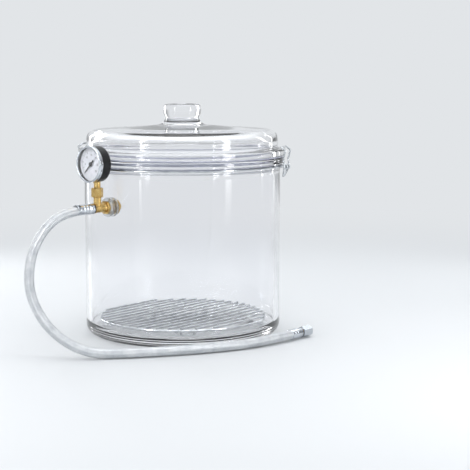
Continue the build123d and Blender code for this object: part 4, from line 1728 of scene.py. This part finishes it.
    def ticks(self) -> bpy.types.Object:
        """Stand a tick on every place of the scale's ring, longer and bolder at each number."""
        start, sweep = self.bearing(0.0), math.radians(self.sweep)
        ring = Recipe("scale_ticks", {"Ticks": self.divisions + 1, "Start": start, "Sweep": sweep})
        given, maths, product = ring.given, ring.maths, ring.product
        index = ring.out("GeometryNodeInputIndex")
        share = maths("DIVIDE", index, maths("SUBTRACT", given["Ticks"], 1.0))
        angle = maths("SUBTRACT", given["Start"], product(share, given["Sweep"]))
        step = maths("MODULO", index, float(self.divisions_per_number))
        major = maths("LESS_THAN", step, 0.5)
        length = maths("ADD", product(major, 1.0 - self.minor_length), self.minor_length)
        reach = maths("SUBTRACT", self.tick_reach * MM, product(length, self.tick_inset * MM))
        place = {"X": product(maths("COSINE", angle), reach), "Y": product(maths("SINE", angle), reach)}
        points = ring.row_of("Ticks", ring.out("ShaderNodeCombineXYZ", place))
        tick = ring.out("GeometryNodeMeshCube", {"Size": tuple(side * MM for side in self.tick_size)})
        width = maths("ADD", product(major, self.major_width - self.minor_width), self.minor_width)
        size = ring.out("ShaderNodeCombineXYZ", {"X": length, "Y": width, "Z": 1.0})
        turn = ring.out("ShaderNodeCombineXYZ", {"Z": angle})
        placed = {"Points": points, "Instance": tick, "Rotation": turn, "Scale": size}
        ring.hand_out(ring.out("GeometryNodeInstanceOnPoints", placed), INK)
        return ring.run("gauge_scale_marks")

    def pointer(self) -> None:
        """Build the pointer: a tapered blade with a hub, at the scale's zero."""
        shape = bmesh.new()
        edge = [*self.blade, *((along, -width) for along, width in reversed(self.blade))]
        back, front = (
            [shape.verts.new(mm(along, width, height)) for along, width in edge]
            for height in self.blade_span
        )
        shape.faces.new(front)
        shape.faces.new(list(reversed(back)))
        bridge(shape, back, front)
        outer, (foot, top) = self.hub_radius, self.hub_span
        rim = [(outer, foot), (outer, top - 0.4), (outer - 0.3, top - 0.1)]
        turn_outline(shape, [(0.0, foot), *rim, (0.0, top)], segments=48)
        swing = Matrix.Rotation(self.bearing(0.0), 4, "Z")
        bmesh.ops.transform(shape, matrix=self.face(0.0).matrix() @ swing, verts=shape.verts)
        blade = finished("gauge_pointer_blade", shape, INK)
        settle(blade, "gauge_pointer", "gauge_pointer", body="gauge_pointer")

    def stem(self) -> None:
        """Build the stem that screws into the coupler, with the block inside the case."""
        foot = on_branch(self.stem_foot)
        shape = bmesh.new()
        turn_outline(shape, plug(self.stem_radius, *self.stem_span), foot, 64)
        size = Matrix.Diagonal((*mm(*self.block_size), 1.0))
        place = foot.moved(self.block_height).matrix() @ size
        bmesh.ops.create_cube(shape, size=1.0, matrix=place)
        settle(finished("gauge_socket_stem", shape, BRASS, 30.0), "brass", "gauge_socket")


# ------------------------------------------------------------------ the studio


@dataclass
class Studio:
    """A pale floor, a pale surround and soft lights."""

    floor_colour: str = "#cdcfd1"
    surround_colour: str = "#e2e5e8"
    floor_roughness: float = 0.6
    floor_level: float = -0.3
    floor_radii: tuple[float, ...] = (0.0, 600.0, 30000.0)
    floor_fade: Point2 = (0.45, 1.7)
    flags_from: Point2 = (0.42, 0.8)
    flag_level: float = 0.42
    sky_from: Point2 = (0.25, 0.8)
    sky_gain: float = 0.55
    soft_from: float = 0.12
    soft_gain: float = 2.4
    aim: tuple[float, float, float] = (0.0, 0.0, 0.16)
    camera_place: tuple[float, float, float] = (0.0, -1.865, 0.3791)
    camera_dip: float = 7.35
    camera_pan: float = -2.32
    camera_lens: float = 99.57
    camera_sensor: float = 36.0
    camera_end: float = 50.0

    def build(self) -> None:
        """Build the camera, the floor, the surround and the lights."""
        self.camera()
        self.floor()
        self.surround()
        self.lights()

    def camera(self) -> None:
        """Place the camera in front of the chamber, looking a little down."""
        data = bpy.data.cameras.new("camera")
        data.sensor_width = self.camera_sensor
        data.lens = self.camera_lens
        data.clip_end = self.camera_end
        camera = new_object("camera", data)
        camera.location = self.camera_place
        tilt, pan = math.radians(90 - self.camera_dip), math.radians(self.camera_pan)
        camera.rotation_euler = (tilt, 0.0, pan)
        bpy.context.scene.camera = camera

    def floor(self) -> None:
        """Lay a wide matt floor that keeps the object's shadow and fades into the surround."""
        shape = bmesh.new()
        turn_outline(shape, [(radius, self.floor_level) for radius in self.floor_radii])
        mesh = bpy.data.meshes.new("floor")
        shape.to_mesh(mesh)
        shape.free()
        floor = new_object("floor", mesh)
        material = bpy.data.materials.new("matt_white_floor")
        material.use_nodes = True
        graph = Graph(material.node_tree)
        shader = graph.tree.nodes["Principled BSDF"]
        shader.inputs["Base Color"].default_value = linear(self.floor_colour)
        shader.inputs["Roughness"].default_value = self.floor_roughness
        place = graph.node("ShaderNodeTexCoord").outputs["Object"]
        reach = graph.node("ShaderNodeVectorMath", {0: place}, operation="LENGTH").outputs["Value"]
        glow = graph.out("ShaderNodeEmission", {"Color": linear(self.surround_colour)})
        faded = graph.mix_shaders(graph.fade(reach, *self.floor_fade), shader.outputs[0], glow)
        graph.feed(graph.tree.nodes["Material Output"].inputs["Surface"], faded)
        mesh.materials.append(material)

    def surround(self) -> None:
        """Make a pale surround, with darker flags at the sides that glass and metal pick up."""
        world = bpy.data.worlds.new("surround")
        bpy.context.scene.world = world
        world.use_nodes = True
        world.node_tree.nodes.clear()
        graph = Graph(world.node_tree)
        place = graph.node("ShaderNodeTexCoord").outputs["Generated"]
        parts = graph.node("ShaderNodeSeparateXYZ", {0: place}).outputs
        sideways = graph.maths("ABSOLUTE", parts["X"])
        flags = graph.fade(sideways, *self.flags_from, 1.0, self.flag_level)
        sky = graph.fade(parts["Z"], *self.sky_from, 0.0, self.sky_gain)
        colour = {"Color": linear(self.surround_colour)}
        strength = {"Strength": graph.maths("ADD", flags, sky)}
        reflected = graph.out("ShaderNodeBackground", {**colour, **strength})
        seen = graph.out("ShaderNodeBackground", {**colour, "Strength": 1.0})
        straight = graph.node("ShaderNodeLightPath").outputs["Is Camera Ray"]
        mixed = graph.mix_shaders(straight, reflected, seen)
        graph.node("ShaderNodeOutputWorld", {"Surface": mixed})

    def lights(self) -> None:
        """Hang a window, a fill from above, and tall strips that run down the glass as reflections."""
        self.lamp("window", (-1.3, -1.2, 0.8), (0.4, 1.5), 7.0)
        self.lamp("right_strip", (0.67, -0.56, 0.42), (0.2, 0.82), 2.6)
        self.lamp("left_strip", (-0.64, -0.62, 0.42), (0.07, 0.82), 0.9)
        self.lamp("left_rim", (-0.58, 0.62, 0.42), (0.16, 0.82), 1.7)
        self.lamp("right_rim", (0.66, 0.5, 0.42), (0.1, 0.82), 0.5)
        self.lamp("top", (0.1, 0.1, 1.9), (2.3, 1.7), 10.5)

    def lamp(
        self, name: str, place: tuple[float, float, float], size: tuple[float, float], watts: float
    ) -> None:
        """Hang one area light that faces the chamber's middle.

        Args:
            name: the light's name.
            place: where it hangs, in metres.
            size: its width and height.
            watts: its power.
        """
        data = bpy.data.lights.new(name, "AREA")
        data.shape = "RECTANGLE"
        data.size, data.size_y = size
        data.energy = watts
        self.soften(data)
        lamp = new_object(name, data)
        lamp.location = place
        lamp.visible_camera = False
        lamp.rotation_euler = (Vector(self.aim) - Vector(place)).to_track_quat("-Z", "Y").to_euler()

    def soften(self, data: bpy.types.AreaLight) -> None:
        """Fade a light towards its edges, as a cloth-fronted soft box does.

        Args:
            data: the light.
        """
        data.use_nodes = True
        graph = Graph(data.node_tree)
        place = graph.node("ShaderNodeNewGeometry").outputs["Parametric"]
        parts = graph.node("ShaderNodeSeparateXYZ", {0: place}).outputs
        edges = [
            graph.fade(graph.maths("ABSOLUTE", graph.maths("SUBTRACT", part, 0.5)), 0.5, self.soft_from)
            for part in (parts["X"], parts["Y"])
        ]
        strength = graph.tree.nodes["Emission"].inputs["Strength"]
        graph.feed(strength, graph.product(*edges, self.soft_gain))


def dress_carried_over() -> None:
    """Give the CAD pieces that stay their own finishes, in each of their material slots."""
    for node, finish in (
        ("tee_seal_ring", RUBBER),
        ("hose_tail_near", BRASS),
        ("hose_tail_far", BRASS),
        ("gauge_movement", BRASS),
        ("bourdon_tube", BRONZE),
    ):
        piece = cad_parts[node]
        if not piece.material_slots:
            piece.data.materials.append(None)
        for socket in piece.material_slots:
            socket.link = "OBJECT"
            socket.material = finish.material()


def main() -> None:
    """Build the chamber and its studio."""
    logging.basicConfig(level=logging.INFO, format="%(message)s")
    bpy.context.scene.view_settings.view_transform = "Standard"
    Studio().build()
    dress_carried_over()
    hose = Hose()
    HoseEnds(hose.far_station()).build()
    hose.build()
    Vessel().build()
    LidGasket().build()
    Lid().build()
    NeckRing().build()
    for side in Side:
        Clasp(side).build()
    PortFittings().build()
    Gauge().build()
    Rack().build()


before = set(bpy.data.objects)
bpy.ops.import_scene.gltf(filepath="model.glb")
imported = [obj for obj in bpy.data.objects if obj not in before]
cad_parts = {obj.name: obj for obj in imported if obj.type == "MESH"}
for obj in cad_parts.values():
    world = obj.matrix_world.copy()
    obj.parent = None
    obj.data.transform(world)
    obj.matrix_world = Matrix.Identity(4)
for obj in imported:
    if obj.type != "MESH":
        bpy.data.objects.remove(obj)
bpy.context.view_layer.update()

if __name__ == "__main__":
    main()
